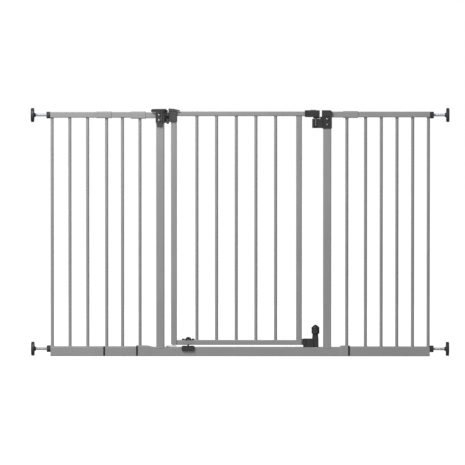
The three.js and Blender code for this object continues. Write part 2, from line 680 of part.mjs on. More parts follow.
function handleShell() {
  const { left, right, bottom, top, halfDepth, corner, railEnd } = HANDLE;
  const grip = alongY(roundedBox(left, right, bottom, top, corner), -halfDepth, halfDepth);
  const neck = box(NECK.left, right, -NECK.halfDepth, NECK.halfDepth, NECK.bottom, bottom + corner);
  const sliderPocket = box(
    SLIDER.left - SLIDER_TRAVEL - 1,
    SLIDER.right + GAP,
    -SLIDER.halfDepth - GAP,
    SLIDER.halfDepth + GAP,
    SLIDER.bottom - GAP,
    top + THROUGH,
  );
  const tongueSocket = tongueBox(GAP, SPIGOT.front, SPIGOT.back, NECK.bottom - THROUGH, SPIGOT.top + GAP);
  return cut(join(grip, neck), topRailRoom(left - THROUGH, railEnd + GAP), sliderPocket, tongueSocket);
}

// The tongue hangs from the handle into the catch. Its nose is rounded.
function latchTongue() {
  const { left, right, front, back, bottom } = TONGUE;
  const middle = (left + right) / 2;
  const half = (right - left) / 2;
  const top = NECK.bottom - GAP;
  return join(
    rodZ(middle, front + half, half, bottom, top, BAR_SEGMENTS),
    tongueBox(0, front + half, back, bottom, top),
    tongueBox(0, SPIGOT.front, SPIGOT.back, top - OVERLAP, SPIGOT.top),
  );
}

function thumbSlider() {
  const { left, right, halfDepth, bottom, plateTop, top } = SLIDER;
  const plate = box(left, right, -halfDepth, halfDepth, bottom, plateTop);
  const padOutline = roundedBox(left + 1, right - 1, plateTop - 1.4, top, 1.2);
  return join(plate, alongY(padOutline, -halfDepth + 1, halfDepth - 1));
}

// The catch on the latch post: a sleeve with a closed top, and a block beside it with a channel that is
// open to the front, above and below.
function latchCatch() {
  const { left, right, halfDepth, bottom, top } = CATCH;
  const block = CATCH_BLOCK;
  const riser = CATCH_RISER;
  const tower = polygon(
    [left, bottom],
    [right, bottom],
    [right, top - 4],
    [right - 4, top],
    [left + 1, top],
    [left, top - 1],
  );
  const blockOutline = roundedBox(block.left, block.right, block.bottom, block.top, block.corner);
  const body = join(
    alongY(tower, -halfDepth, halfDepth),
    alongY(blockOutline, -halfDepth, block.back),
    box(riser.left, block.right, -riser.halfDepth, riser.halfDepth, block.top - block.corner, riser.top),
  );
  const channel = box(
    TONGUE.left - CATCH_CHANNEL.side,
    TONGUE.right + CATCH_CHANNEL.side,
    -halfDepth - THROUGH,
    CATCH_CHANNEL.back,
    bottom,
    riser.top,
  );
  const cavity = postCavity(POST.rightX, bottom, POST.rightTop);
  const notch = stubNotch(RIGHT_STUB, right - THROUGH, right + THROUGH);
  return cut(body, channel, cavity, notch, ...screwHoles(CATCH_SCREW));
}

function buildLatch() {
  add(frame, "hinge_bracket", hingeBracket(), plastic());
  add(frame, "hinge_pin", hingePin(), zinc());
  add(frame, "lower_pivot_bush", lowerPivotBush(), plastic());
  add(frame, "latch_catch", latchCatch(), plastic());
  add(door, "handle_shell", handleShell(), plastic());
  add(door, "latch_tongue", latchTongue(), plastic());
  add(door, "thumb_slider", thumbSlider(), plastic());
}

// ---- Lower lock -----------------------------------------------------------------------------------

// The cradle on the base rail is open to the front and above where the door's block rests in it. The
// pillar beside it guides the knob's bolt.
function lowerLockHousing() {
  const { left, wall, right, halfDepth, boxTop } = LOCK;
  const floor = BASE_RAIL.height + GAP;
  const pillarOutline = roundedBox(right, PILLAR.right, -PILLAR.halfDepth, PILLAR.halfDepth, PILLAR.corner);
  const body = join(
    alongY(roundedBox(wall, right + PILLAR.corner, floor, boxTop, 1), -halfDepth, halfDepth),
    box(left, wall + THROUGH, -halfDepth, halfDepth, floor, CRADLE.floorTop),
    box(left, wall + THROUGH, CRADLE.backFront, halfDepth, floor, boxTop),
    alongZ(pillarOutline, floor, PILLAR.top),
  );
  const boltHole = LOCK_KNOB.boltRadius + GAP;
  return cut(body, rodZ(LOCK_KNOB.x, 0, boltHole, LOCK_KNOB.bottom - THROUGH, PILLAR.top + THROUGH));
}

// The block on the foot of the latch stile.
function lowerLatchBlock() {
  const { clear, front, back, bottom } = LATCH_BLOCK;
  const face = STILE.rightX + STILE.width / 2 + GAP;
  return alongY(roundedBox(face, LOCK.wall - clear, bottom, LOCK.boxTop - clear / 2, 1), front, back);
}

function lowerLockKnob() {
  const profile = [
    [0, LOCK_KNOB.bottom],
    [LOCK_KNOB.boltRadius, LOCK_KNOB.bottom],
    [LOCK_KNOB.boltRadius, LOCK_KNOB.neck],
    [8.6, LOCK_KNOB.neck],
    [12.8, 72.6],
    [12.2, 81],
    [12.6, 89],
    [8.2, 94.3],
    [0, LOCK_KNOB.top],
  ];
  return turned(profile).translate(LOCK_KNOB.x, 0, 0);
}

function buildLowerLock() {
  add(frame, "lower_lock_housing", lowerLockHousing(), plastic());
  add(frame, "lower_lock_knob", lowerLockKnob(), plastic());
  add(door, "lower_latch_block", lowerLatchBlock(), plastic());
}

// ---- Wall fittings: plugs, nuts, spindles and cups ------------------------------------------------

// A plug flush with the rail's end, with a hole for the spindle. Built pointing to +X.
function endPlug(section, spindleZ) {
  const slack = section.wall + GAP;
  const width = section.depth - 2 * slack;
  const height = section.height - 2 * slack;
  const outline = roundedCentred(0, section.centreZ, width, height, section.corner);
  const body = alongX(outline, PLUG.inner, PLUG.outer);
  const holeRadius = SPINDLE.radius + SPINDLE.clearance;
  return cut(body, rodX(0, spindleZ, holeRadius, PLUG.inner - THROUGH, PLUG.outer + THROUGH));
}

// A cup that presses on the wall, with a socket for the spindle's end. Turned round Z, wall side up.
function wallCup() {
  const { radius, hubRadius, rim, depth, socketDepth } = CUP;
  const socket = SPINDLE.radius + GAP;
  const rimStart = depth - rim;
  return turned(
    [
      [socket, 0],
      [hubRadius, 0],
      [hubRadius + 1, rimStart - 1],
      [radius - 1, rimStart],
      [radius, rimStart + 1],
      [radius, depth],
      [0, depth],
      [0, socketDepth],
      [socket, socketDepth],
      [socket, 0],
    ],
    CUP_SEGMENTS,
  );
}

function tensionNut() {
  const bore = SPINDLE.radius + SPINDLE.clearance;
  const length = NUT.outer - NUT.inner;
  return turned([
    [bore, 0],
    [NUT.radius - NUT.chamfer, 0],
    [NUT.radius, NUT.chamfer],
    [NUT.radius, length - NUT.chamfer],
    [NUT.radius - NUT.chamfer, length],
    [bore, length],
    [bore, 0],
  ]);
}

// Places a piece turned round Z so that its axis lies on X at the given height, pointing to the side.
function placeAcross(mesh, side, x, z) {
  mesh.rotation.y = (side * Math.PI) / 2;
  mesh.position.set(side * x, 0, z);
}

function buildTension() {
  const cupFace = GATE_WIDTH / 2;
  const hub = cupFace - CUP.depth;
  const spindleEnd = hub + CUP.socketDepth - GAP;
  const fittings = [
    ["left_top", -1, LEFT_TOP_RAIL, SPINDLE.topZ],
    ["left_bottom", -1, BOTTOM_RAIL, SPINDLE.bottomZ],
    ["right_top", 1, RIGHT_TOP_RAIL, SPINDLE.topZ],
    ["right_bottom", 1, BOTTOM_RAIL, SPINDLE.bottomZ],
  ];
  for (const [where, side, section, z] of fittings) {
    const plug = add(frame, `end_plug_${where}`, endPlug(section, z), plastic());
    plug.rotation.z = side < 0 ? Math.PI : 0;
    const length = spindleEnd - SPINDLE.inner;
    const rod = new THREE.CylinderGeometry(SPINDLE.radius, SPINDLE.radius, length, ROUND_SEGMENTS);
    const spindle = add(tension, `spindle_${where}`, rod.rotateX(Math.PI / 2), zinc());
    placeAcross(spindle, side, (SPINDLE.inner + spindleEnd) / 2, z);
    placeAcross(add(tension, `wall_cup_${where}`, wallCup(), plastic()), side, hub, z);
    placeAcross(add(tension, `tension_nut_${where}`, tensionNut(), plastic()), side, NUT.inner, z);
  }
}

buildMainFrame();
buildExtensions();
buildScrews();
buildDoor();
buildLatch();
buildLowerLock();
buildTension();

export default gate;
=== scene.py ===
import json
import math

import bmesh
import bpy
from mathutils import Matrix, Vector


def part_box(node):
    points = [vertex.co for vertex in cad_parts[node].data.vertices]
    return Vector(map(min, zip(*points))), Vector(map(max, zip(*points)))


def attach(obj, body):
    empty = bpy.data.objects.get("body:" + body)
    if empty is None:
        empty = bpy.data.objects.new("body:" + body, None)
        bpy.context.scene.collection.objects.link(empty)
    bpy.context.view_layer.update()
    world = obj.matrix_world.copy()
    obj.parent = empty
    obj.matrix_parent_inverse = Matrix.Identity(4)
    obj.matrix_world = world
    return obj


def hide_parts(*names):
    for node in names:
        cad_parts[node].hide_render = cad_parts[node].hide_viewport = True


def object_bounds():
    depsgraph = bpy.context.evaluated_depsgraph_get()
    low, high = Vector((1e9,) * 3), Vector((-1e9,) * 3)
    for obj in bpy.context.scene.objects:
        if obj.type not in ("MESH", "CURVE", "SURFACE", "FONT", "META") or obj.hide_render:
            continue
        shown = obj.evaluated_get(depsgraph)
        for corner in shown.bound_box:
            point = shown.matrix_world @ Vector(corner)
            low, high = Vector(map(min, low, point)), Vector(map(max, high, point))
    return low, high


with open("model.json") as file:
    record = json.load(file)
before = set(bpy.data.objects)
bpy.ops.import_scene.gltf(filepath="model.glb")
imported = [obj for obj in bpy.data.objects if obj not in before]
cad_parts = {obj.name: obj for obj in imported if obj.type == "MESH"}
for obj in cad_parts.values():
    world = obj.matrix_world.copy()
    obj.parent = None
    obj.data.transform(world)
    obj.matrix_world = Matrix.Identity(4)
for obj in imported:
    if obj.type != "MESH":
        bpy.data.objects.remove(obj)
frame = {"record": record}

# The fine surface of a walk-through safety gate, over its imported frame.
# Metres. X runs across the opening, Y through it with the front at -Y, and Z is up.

CAD_LOW, CAD_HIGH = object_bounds()
RECORD = frame["record"]
BODY_OF = {node: body for body, nodes in RECORD["behaviour"]["bodies"].items() for node in nodes}
SLOT_OF = {row["node"]: row["material_slot"] for row in RECORD["subparts"]}

MM = 0.001
QUARTER = math.pi / 2
SHARP = math.radians(40)

BAR_RADIUS = 4.8 * MM
OPENING_CLEARANCE = 1 * MM  # between a bar and the opening that the record states beside it
TOP_RAIL_HEIGHT = 17.8 * MM
TOP_RAIL_DEPTH = 18 * MM
BOTTOM_RAIL_HEIGHT = 29.6 * MM
TUBE_CORNER = 2.6 * MM
TUBE_WALL = 1.2 * MM
SINK = 0.3 * MM  # how far a welded end reaches into its neighbour
POST_SINK = 1.7 * MM  # the same under a post, whose bead fills the rail's rounded edge
BEAD = 1.1 * MM  # how far a weld stands out from its tube
BEAD_RISE = 2.2 * MM
GAP = 0.3 * MM
PAST = 5 * MM  # how far a cutting shape passes beyond what it cuts
THREAD_PITCH = 3 * MM
THREAD_DEPTH = 0.75 * MM
THREAD_BORE = 4.9 * MM  # the radius of the hole round a spindle
TONGUE_FRONT = -8 * MM  # the part of the tongue that is inside the handle
TONGUE_BACK = 5 * MM
PIN_BORE = 2.8 * MM  # the radius of the hole round the hinge pin
FLANK = 1.6  # how steep the sides of the thread's groove are
CREST = 0.3  # how wide the flat top of the thread is

FRONT_FILL = 0.82
BACK_FILL = 0.12
KEY_LIGHT = {"location": (-1.4, -1.5, 2.3), "target": (-0.45, 0, 0.7), "size": 1.4, "power": 90}
BACK_LIGHT = {"location": (0, 3.2, 1.3), "target": (0, 0, 0.4), "size": 1.8, "power": 40}

SIDES = {"left": -1, "right": 1}
LEVELS = ("top", "bottom")
EXTENSIONS = ("left_outer", "left_inner", "right")


# ---- Reading the frame ----


def edges(node):
    """Left, right, front, back, bottom and top of a CAD node."""
    low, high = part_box(node)
    return low[0], high[0], low[1], high[1], low[2], high[2]


def centre(node):
    low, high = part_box(node)
    return (Vector(low) + Vector(high)) / 2


# ---- Outlines: closed lists of 2-D points, counter-clockwise ----


def circle(u, v, radius, count=24):
    turns = [2 * math.pi * i / count for i in range(count)]
    return [Vector((u + radius * math.cos(a), v + radius * math.sin(a))) for a in turns]


def rounded(corners, radius=0.0, steps=4):
    """A polygon with its corners rounded. A corner may carry a radius of its own as a third number."""
    points = [Vector(c[:2]) for c in corners]
    radii = [c[2] if len(c) > 2 else radius for c in corners]
    outline = []
    for i, (here, r) in enumerate(zip(points, radii)):
        if r == 0:
            outline.append(here)
            continue
        to_last = (points[i - 1] - here).normalized()
        to_next = (points[(i + 1) % len(points)] - here).normalized()
        half = to_last.angle(to_next) / 2
        hub = here + (to_last + to_next).normalized() * r / math.sin(half)
        start = here + to_last * r / math.tan(half) - hub
        end = here + to_next * r / math.tan(half) - hub
        sweep = start.angle_signed(end)
        for k in range(steps + 1):
            a = -sweep * k / steps
            across = start.x * math.cos(a) - start.y * math.sin(a)
            along = start.x * math.sin(a) + start.y * math.cos(a)
            outline.append(hub + Vector((across, along)))
    return outline


def rectangle(left, right, low, high, radius=0.0, steps=4):
    return rounded([(left, low), (right, low), (right, high), (left, high)], radius, steps)


def grown(outline, distance):
    """The outline with every side moved outwards by a distance."""
    moved = []
    for i, here in enumerate(outline):
        before = here - outline[i - 1]
        after = outline[(i + 1) % len(outline)] - here
        first = Vector((before.y, -before.x)).normalized()
        second = Vector((after.y, -after.x)).normalized()
        middle = (first + second).normalized()
        moved.append(here + middle * distance / max(middle.dot(first), 0.4))
    return moved


# ---- Where an outline and its level land in space ----


def upwards(u, v, level):
    """Outline in (X, Y), levels along Z."""
    return Vector((u, v, level))


def backwards(u, v, level):
    """Outline in (X, Z), levels along Y."""
    return Vector((u, level, v))


def sideways(u, v, level):
    """Outline in (Y, Z), levels along X."""
    return Vector((level, u, v))


# ---- Shells: (points, faces) ----


def loft(rings, loop=False):
    """Joins rings of points, one after another. A ring of one point is a tip, and open ends are capped."""
    starts = [sum(len(r) for r in rings[:i]) for i in range(len(rings))]
    pairs = list(zip(range(len(rings)), range(1, len(rings))))
    if loop:
        pairs.append((len(rings) - 1, 0))
    faces = []
    for a, b in pairs:
        size_a, size_b = len(rings[a]), len(rings[b])
        for i in range(max(size_a, size_b)):
            j = i + 1
            lap = [starts[a] + i % size_a, starts[a] + j % size_a]
            lap += [starts[b] + j % size_b, starts[b] + i % size_b]
            faces.append(tuple(dict.fromkeys(lap)))
    if not loop:
        for k in (0, len(rings) - 1):
            if len(rings[k]) > 2:
                faces.append(tuple(range(starts[k], starts[k] + len(rings[k]))))
    return [p for ring in rings for p in ring], faces


def prism(outline, levels, place, loop=False):
    """A solid along a line. levels holds (level, growth of the outline there) pairs."""
    rings = [[place(u, v, level) for u, v in grown(outline, growth)] for level, growth in levels]
    return loft(rings, loop)


def soft(near, far, radius, steps=3):
    """Levels of a prism with rounded end edges."""
    turns = [QUARTER * k / steps for k in range(steps + 1)]
    arc = [(radius * (1 - math.cos(a)), -radius * (1 - math.sin(a))) for a in turns]
    return [(near + rise, inset) for rise, inset in arc] + [(far - rise, inset) for rise, inset in arc[::-1]]


def flat(near, far):
    return [(near, 0), (far, 0)]


def welded(near, far, at_near=True, at_far=True):
    """Levels of a tube whose ends flare into weld beads."""
    bead = [(BEAD_RISE * t, BEAD * (1 - t) ** 1.6) for t in (0, 0.2, 0.45, 0.7, 1)]
    start = [(near + rise, out) for rise, out in bead] if at_near else [(near, 0)]
    end = [(far - rise, out) for rise, out in bead[::-1]] if at_far else [(far, 0)]
    return start + end


def rod(u, v, radius, near, far, place=upwards, count=24):
    return prism(circle(u, v, radius, count), flat(near, far), place)


def tube(outline, near, far, place, wall=TUBE_WALL, lip=GAP):
    """A hollow tube with eased ends."""
    levels = [(near, -wall), (near, -lip), (near + lip, 0), (far - lip, 0), (far, -lip), (far, -wall)]
    return prism(outline, levels, place, loop=True)


def block(left, right, front, back, bottom, top, edge=0.0, corner=0.0):
    """A block whose outline is seen from the front. Its corners are rounder than its edges."""
    levels = soft(front, back, edge) if edge else flat(front, back)
    return prism(rectangle(left, right, bottom, top, max(corner, 1.25 * edge)), levels, backwards)


def turned(profile, place, count=32, loop=False):
    """A body of revolution. profile holds (radius, height) pairs, and place puts a point on its axis."""
    rings = []
    for radius, height in profile:
        points = circle(0, 0, radius, count) if radius else [Vector((0, 0))]
        rings.append([place(u, v, height) for u, v in points])
    return loft(rings, loop)


def on_z(x, y):
    return lambda u, v, height: Vector((x + u, y + v, height))


def on_y(x, z):
    return lambda u, v, height: Vector((x + u, height, z + v))


def on_x(y, z, start, side):
    return lambda u, v, height: Vector((start + side * height, y + u, z + v))


def arc_profile(radius_centre, height_centre, radius, start, end, steps=5):
    """Points of a profile on an arc, with its angles in quarter turns."""
    angles = [QUARTER * (start + (end - start) * k / steps) for k in range(steps + 1)]
    return [(radius_centre + radius * math.cos(a), height_centre + radius * math.sin(a)) for a in angles]


def together(*shells):
    points, faces = [], []
    for shell_points, shell_faces in shells:
        start = len(points)
        points += shell_points
        faces += [tuple(i + start for i in face) for face in shell_faces]
    return points, faces


# ---- Joining and cutting ----


def clean_mesh(name, shell):
    points, faces = shell
    mesh = bpy.data.meshes.new(name)
    mesh.from_pydata(points, [], faces)
    work = bmesh.new()
    work.from_mesh(mesh)
    bmesh.ops.remove_doubles(work, verts=work.verts, dist=0.001 * MM)
    bmesh.ops.recalc_face_normals(work, faces=work.faces)
    work.to_mesh(mesh)
    work.free()
    return mesh


def placed(name, data):
    """A new object in the scene."""
    made = bpy.data.objects.new(name, data)
    bpy.context.collection.objects.link(made)
    return made


def combined(operation, first, others):
    """The first shell, joined to the others or cut by them one after another."""
    holder = placed("holder", clean_mesh("holder", first))
    tools = [placed("tool", clean_mesh("tool", shell)) for shell in others]
    for tool in tools:
        step = holder.modifiers.new("step", "BOOLEAN")
        step.operation = operation
        step.solver = "EXACT"
        step.object = tool
    graph = bpy.context.evaluated_depsgraph_get()
    result = bpy.data.meshes.new_from_object(holder.evaluated_get(graph))
    shell = [v.co.copy() for v in result.vertices], [tuple(f.vertices) for f in result.polygons]
    for scrap in [holder, *tools]:
        mesh = scrap.data
        bpy.data.objects.remove(scrap)
        bpy.data.meshes.remove(mesh)
    bpy.data.meshes.remove(result)
    return shell


def fused(first, *others):
    return combined("UNION", first, others)


def carved(first, *tools):
    return combined("DIFFERENCE", first, tools)


def shared(first, other):
    return combined("INTERSECT", first, [other])


# ---- Materials ----


def add_node(tree, kind, inputs=None, **settings):
    made = tree.nodes.new(kind)
    for key, value in settings.items():
        setattr(made, key, value)
    for socket, value in (inputs or {}).items():
        if isinstance(value, bpy.types.NodeSocket):
            tree.links.new(value, made.inputs[socket])
        else:
            made.inputs[socket].default_value = value
    return made


def grain(tree, scale, detail=2.0):
    """Noise in the object's own space, with about scale grains to the metre."""
    place = add_node(tree, "ShaderNodeTexCoord").outputs["Object"]
    settings = {"Vector": place, "Scale": scale, "Detail": detail}
    return add_node(tree, "ShaderNodeTexNoise", settings).outputs["Fac"]


def ramp(tree, source, low, high, start=0.35, end=0.65):
    """Maps the middle of a noise onto a range of values."""
    settings = {"Value": source, "From Min": start, "From Max": end, "To Min": low, "To Max": high}
    return add_node(tree, "ShaderNodeMapRange", settings).outputs["Result"]


def mottled(tree, noise, dark, light):
    """A colour that drifts between two. A mix node's colours are its sockets 6 and 7 and its output 2."""
    sockets = {0: ramp(tree, noise, 0.0, 1.0), 6: (*dark, 1), 7: (*light, 1)}
    return add_node(tree, "ShaderNodeMix", sockets, data_type="RGBA").outputs[2]


def relief(tree, coarse, fine, strength, distance):
    """Two grains of bump, one over the other, each with its own number of grains to the metre."""
    settings = {"Height": grain(tree, coarse), "Strength": strength, "Distance": distance}
    first = add_node(tree, "ShaderNodeBump", settings).outputs["Normal"]
    settings.update({"Height": grain(tree, fine), "Distance": distance / 2, "Normal": first})
    return add_node(tree, "ShaderNodeBump", settings).outputs["Normal"]


def new_material(name, metallic, specular=0.5):
    material = bpy.data.materials.new(name)
    material.use_nodes = True
    shader = material.node_tree.nodes["Principled BSDF"]
    shader.inputs["Metallic"].default_value = metallic
    shader.inputs["Specular IOR Level"].default_value = specular
    return material, material.node_tree, shader


def link_surface(tree, shader, colour, roughness, normal):
    tree.links.new(colour, shader.inputs["Base Color"])
    tree.links.new(roughness, shader.inputs["Roughness"])
    tree.links.new(normal, shader.inputs["Normal"])


def frame_paint():
    """Satin grey powder coat: orange peel, fine pigment and a slow drift in tone."""
    material, tree, shader = new_material("satin_powder_coat", 0.0, 0.45)
    colour = mottled(tree, grain(tree, 5), (0.215, 0.215, 0.220), (0.233, 0.233, 0.236))
    flecks = ramp(tree, grain(tree, 1600, 1), 0.93, 1.05, 0.3, 0.7)
    product = add_node(tree, "ShaderNodeVectorMath", {0: colour, 1: flecks}, operation="MULTIPLY")
    tinted = product.outputs["Vector"]
    rough = ramp(tree, grain(tree, 260, 3), 0.40, 0.52)
    link_surface(tree, shader, tinted, rough, relief(tree, 420, 1500, 0.35, 0.12 * MM))
    return material


def moulded_plastic(name, dark, light, roughness=0.5):
    """Plastic or rubber with the fine even texture of a spark-eroded mould."""
    material, tree, shader = new_material(name, 0.0, 0.4)
    colour = mottled(tree, grain(tree, 40, 3), dark, light)
    rough = ramp(tree, grain(tree, 900), roughness - 0.06, roughness + 0.06)
    link_surface(tree, shader, colour, rough, relief(tree, 1100, 3200, 0.55, 0.10 * MM))
    return material


def plated_metal(name, dark, light, roughness=0.33):
    """Plated metal with fine marks of drawing and rolling."""
    material, tree, shader = new_material(name, 1.0)
    colour = mottled(tree, grain(tree, 350, 3), dark, light)
    rough = ramp(tree, grain(tree, 800, 3), roughness - 0.09, roughness + 0.09)
    link_surface(tree, shader, colour, rough, relief(tree, 900, 2600, 0.25, 0.06 * MM))
    return material


MATERIALS = {
    "frame_paint": frame_paint(),
    "charcoal_plastic": moulded_plastic("charcoal_plastic", (0.0155, 0.0155, 0.0165), (0.021, 0.021, 0.022)),
    "zinc_plate": plated_metal("bright_zinc", (0.42, 0.46, 0.50), (0.52, 0.56, 0.60), 0.55),
    "black_steel": plated_metal("black_steel", (0.030, 0.030, 0.031), (0.045, 0.045, 0.046)),
}
DULL_ZINC = plated_metal("dull_zinc", (0.26, 0.26, 0.27), (0.34, 0.34, 0.35))
PALE_ZINC = plated_metal("pale_zinc", (0.80, 0.81, 0.83), (0.90, 0.91, 0.93))
# A lighter copy of the charcoal plastic for the hinge bracket and door cap. Its lower roughness is the
# material's own; its raised tone is painted sheen for the key light's reflection on their faces.
HINGE_PLASTIC_PAINTED_SHEEN = moulded_plastic("hinge_plastic_painted_sheen", (0.036, 0.036, 0.037), (0.045, 0.045, 0.046), 0.42)
JOINER_PLASTIC = moulded_plastic("joiner_plastic", (0.006, 0.006, 0.006), (0.010, 0.010, 0.010), 0.65)
# The tongue's plastic is several times lighter than the charcoal. This is a painted highlight for the bright
# strip of light down its rounded nose.
TONGUE_PLASTIC_PAINTED_HIGHLIGHT = moulded_plastic("tongue_plastic_painted_highlight", (0.082, 0.082, 0.084), (0.095, 0.095, 0.097), 0.4)
PAD_RUBBER = moulded_plastic("pad_rubber", (0.012, 0.012, 0.012), (0.018, 0.018, 0.018), 0.75)
GREY_PLASTIC = moulded_plastic("grey_plastic", (0.16, 0.16, 0.165), (0.19, 0.19, 0.195))


# ---- Pieces ----


def extra(name, node, shell, material=None):
    """A piece that goes with a CAD node: it rides on the node's body and takes its slot."""
    mesh = clean_mesh(name, shell)
    mesh.shade_smooth()
    mesh.set_sharp_from_angle(angle=SHARP)
    mesh.materials.append(material or MATERIALS[SLOT_OF[node]])
    made = placed(name, mesh)
    even = made.modifiers.new("even_shading", "WEIGHTED_NORMAL")
    even.keep_sharp = True
    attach(made, BODY_OF[node])
    return made


def piece(node, shell, material=None):
    """A piece that stands for a CAD node."""
    made = extra(f"{node}_fine", node, shell, material)
    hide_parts(node)


# ---- Tubes and bars ----


def section_of(node, corner=TUBE_CORNER):
    """A rail's outline in (Y, Z)."""
    _, _, front, back, bottom, top = edges(node)
    return rectangle(front, back, bottom, top, corner)


def bar(x, bottom, top):
    levels = welded(bottom - SINK, top + SINK)
    return prism(circle(x, 0, BAR_RADIUS), levels, upwards)


def bars_beside_openings(word):
    """The X of each bar of a panel, from the openings that the record states between its bars."""
    found = set()
    reach = OPENING_CLEARANCE + BAR_RADIUS
    for opening in RECORD["physics"]["openings"]:
        if word in opening["name"]:
            low, high = opening["box_m"]
            found |= {round(low[0] - reach, 4), round(high[0] + reach, 4)}
    return sorted(found)


def extension_panel(node, word):
    """Two rails and the bars welded between them."""
    left, right, _, _, _, top = edges(node)
    depth = edges("base_rail")[3]
    half_top = TOP_RAIL_DEPTH / 2
    bar_top = top - TOP_RAIL_HEIGHT
    low = rectangle(-depth, depth, 0, BOTTOM_RAIL_HEIGHT, TUBE_CORNER)
    high = rectangle(-half_top, half_top, bar_top, top, TUBE_CORNER)
    rails = [tube(low, left, right, sideways), tube(high, left, right, sideways)]
    bars = [bar(x, BOTTOM_RAIL_HEIGHT, bar_top) for x in bars_beside_openings(word)]
    piece(node, together(*rails, *bars))


def base_socket(side, swage):
    """The end of the base rail, pressed out to a taller and deeper mouth, level underneath."""
    left, right, _, back, _, top = edges(f"base_socket_{side}")
    _, _, _, rail_back, _, rail_top = edges("base_rail")
    outwards = SIDES[side]
    start, mouth = (left, right) if outwards > 0 else (right, left)
    start -= outwards * GAP
    length = abs(mouth - start)
    flat_before = 4 * MM
    lip = 0.5 * MM
    steps = 10
    stations = [(0, 0, 0)] + [(flat_before + swage * k / steps, k / steps, 0) for k in range(steps + 1)]
    stations += [(length - lip, 1, 0), (length, 1, lip)]
    rings = []
    for reach, t, inset in stations:
        ease = t * t * (3 - 2 * t)
        half = rail_back + (back - rail_back) * ease - inset
        high = rail_top + (top - rail_top) * ease - inset
        outline = rectangle(-half, half, inset, high, TUBE_CORNER)
        rings.append([sideways(u, v, start + outwards * reach) for u, v in outline])
    piece(f"base_socket_{side}", loft(rings))


def make_base():
    """The base rail, with a hole for the bush. Its right end is pressed more sharply than its left."""
    bush = centre("lower_pivot_bush")
    left, right, _, _, _, top = edges("base_rail")
    hole = rod(bush.x, bush.y, 4.4 * MM, top - 4 * MM, top + 4 * MM)
    rail = tube(section_of("base_rail"), left, right, sideways, lip=0.05 * MM)
    piece("base_rail", carved(rail, hole))
    base_socket("left", 24 * MM)
    base_socket("right", 10 * MM)


def make_posts():
    for node in ("post_left", "post_right"):
        left, right, front, back, _, top = edges(node)
        foot = welded(edges("base_rail")[5] - POST_SINK, top, at_far=False)
        piece(node, prism(rectangle(left, right, front, back, 3 * MM), foot, upwards))


def make_top_stubs():
    """The stubs of the top rails, each welded to its post."""
    reach = GAP + SINK
    for side in SIDES:
        node = f"top_stub_{side}"
        left, right = edges(node)[:2]
        on_left = side == "left"
        near, far = (left, right + reach) if on_left else (left - reach, right)
        levels = welded(near, far, at_near=not on_left, at_far=on_left)
        piece(node, prism(section_of(node), levels, sideways))


def make_frame_bars():
    for side, sleeve in (("left", "left_inner"), ("right", "right")):
        node = f"frame_bar_{side}"
        bottom = edges(f"base_socket_{side}")[5]
        piece(node, bar(centre(node).x, bottom, edges(f"top_sleeve_{sleeve}")[4]))


def make_sleeves():
    """The sleeves of the top rails. The outer left one is notched over the bar that it reaches."""
    for name in EXTENSIONS:
        node = f"top_sleeve_{name}"
        left, right = edges(node)[:2]
        section = section_of(node, 3.4 * MM)
        body = tube(section, left, right, sideways, 1.1 * MM, 0.4 * MM)
        if name == "left_outer":
            bar_x = bars_beside_openings("gap_left_inner")[0]
            low = edges(node)[4]
            body = carved(body, rod(bar_x, 0, BAR_RADIUS + GAP, low - 1 * MM, low + 4 * MM))
        piece(node, body)


def make_joiners():
    """A flange between two base tubes, and a tongue that reaches into both."""
    half_flange = 2.5 * MM
    half_tongue = 9 * MM
    tongue_low = 3 * MM
    tongue_high = edges("base_rail")[5] - 3 * MM
    tongue_section = rectangle(-half_tongue, half_tongue, tongue_low, tongue_high, 2 * MM)
    for name in EXTENSIONS:
        node = f"base_joiner_{name}"
        left, right, front, back, _, top = edges(node)
        middle = (left + right) / 2
        levels = soft(middle - half_flange, middle + half_flange, 0.7 * MM)
        flange = prism(rectangle(front, back, 0, top, 2.5 * MM), levels, sideways)
        tongue = prism(tongue_section, soft(left, right, 0.8 * MM), sideways)
        piece(node, fused(flange, tongue), JOINER_PLASTIC)


def make_extensions():
    for name in EXTENSIONS:
        extension_panel(f"extension_{name}", f"gap_{name}")
    make_sleeves()
    make_joiners()


# ---- Door frame ----


def door_stile(node, radius, outer=False):
    """An upright of the door. Its foot is eased all round, and the outer one's is round on its left side."""
    left, right, front, back, bottom, top = edges(node)
    steps = 5
    rings = []
    for k in range(steps + 1):
        a = QUARTER * k / steps
        inset = radius * (1 - math.sin(a))
        ease = min(0.5 * MM, inset)
        low = left + (inset if outer else ease)
        outline = rectangle(low, right - ease, front + ease, back - ease, 3 * MM)
        rings.append([upwards(u, v, bottom + radius * (1 - math.cos(a))) for u, v in outline])
    full = rectangle(left, right, front, back, 3 * MM)
    for rise, out in [(BEAD_RISE, 0), (BEAD_RISE / 2, BEAD * 0.4), (0, BEAD * 0.8)]:
        rings.append([upwards(u, v, top + GAP - rise) for u, v in grown(full, out)])
    piece(node, loft(rings))


def make_door_frame():
    door_stile("door_stile_left", 5 * MM, outer=True)
    door_stile("door_stile_right", 1 * MM)
    left, right, _, _, bar_top, _ = edges("door_top_rail")
    piece("door_top_rail", tube(section_of("door_top_rail"), left, right, sideways, lip=0.5 * MM))

    left, right, _, _, bottom, top = edges("door_bottom_rail")
    levels = welded(left - GAP - SINK, right + GAP + SINK)
    rail = prism(section_of("door_bottom_rail"), levels, sideways)
    stem_hole = rod(centre("door_stop").x, 0, 3 * MM, bottom - 4 * MM, top + 4 * MM)
    piece("door_bottom_rail", carved(rail, stem_hole))

    for i in range(1, 6):
        node = f"door_bar_{i}"
        piece(node, bar(centre(node).x, top, bar_top))


# ---- Screws and pins ----


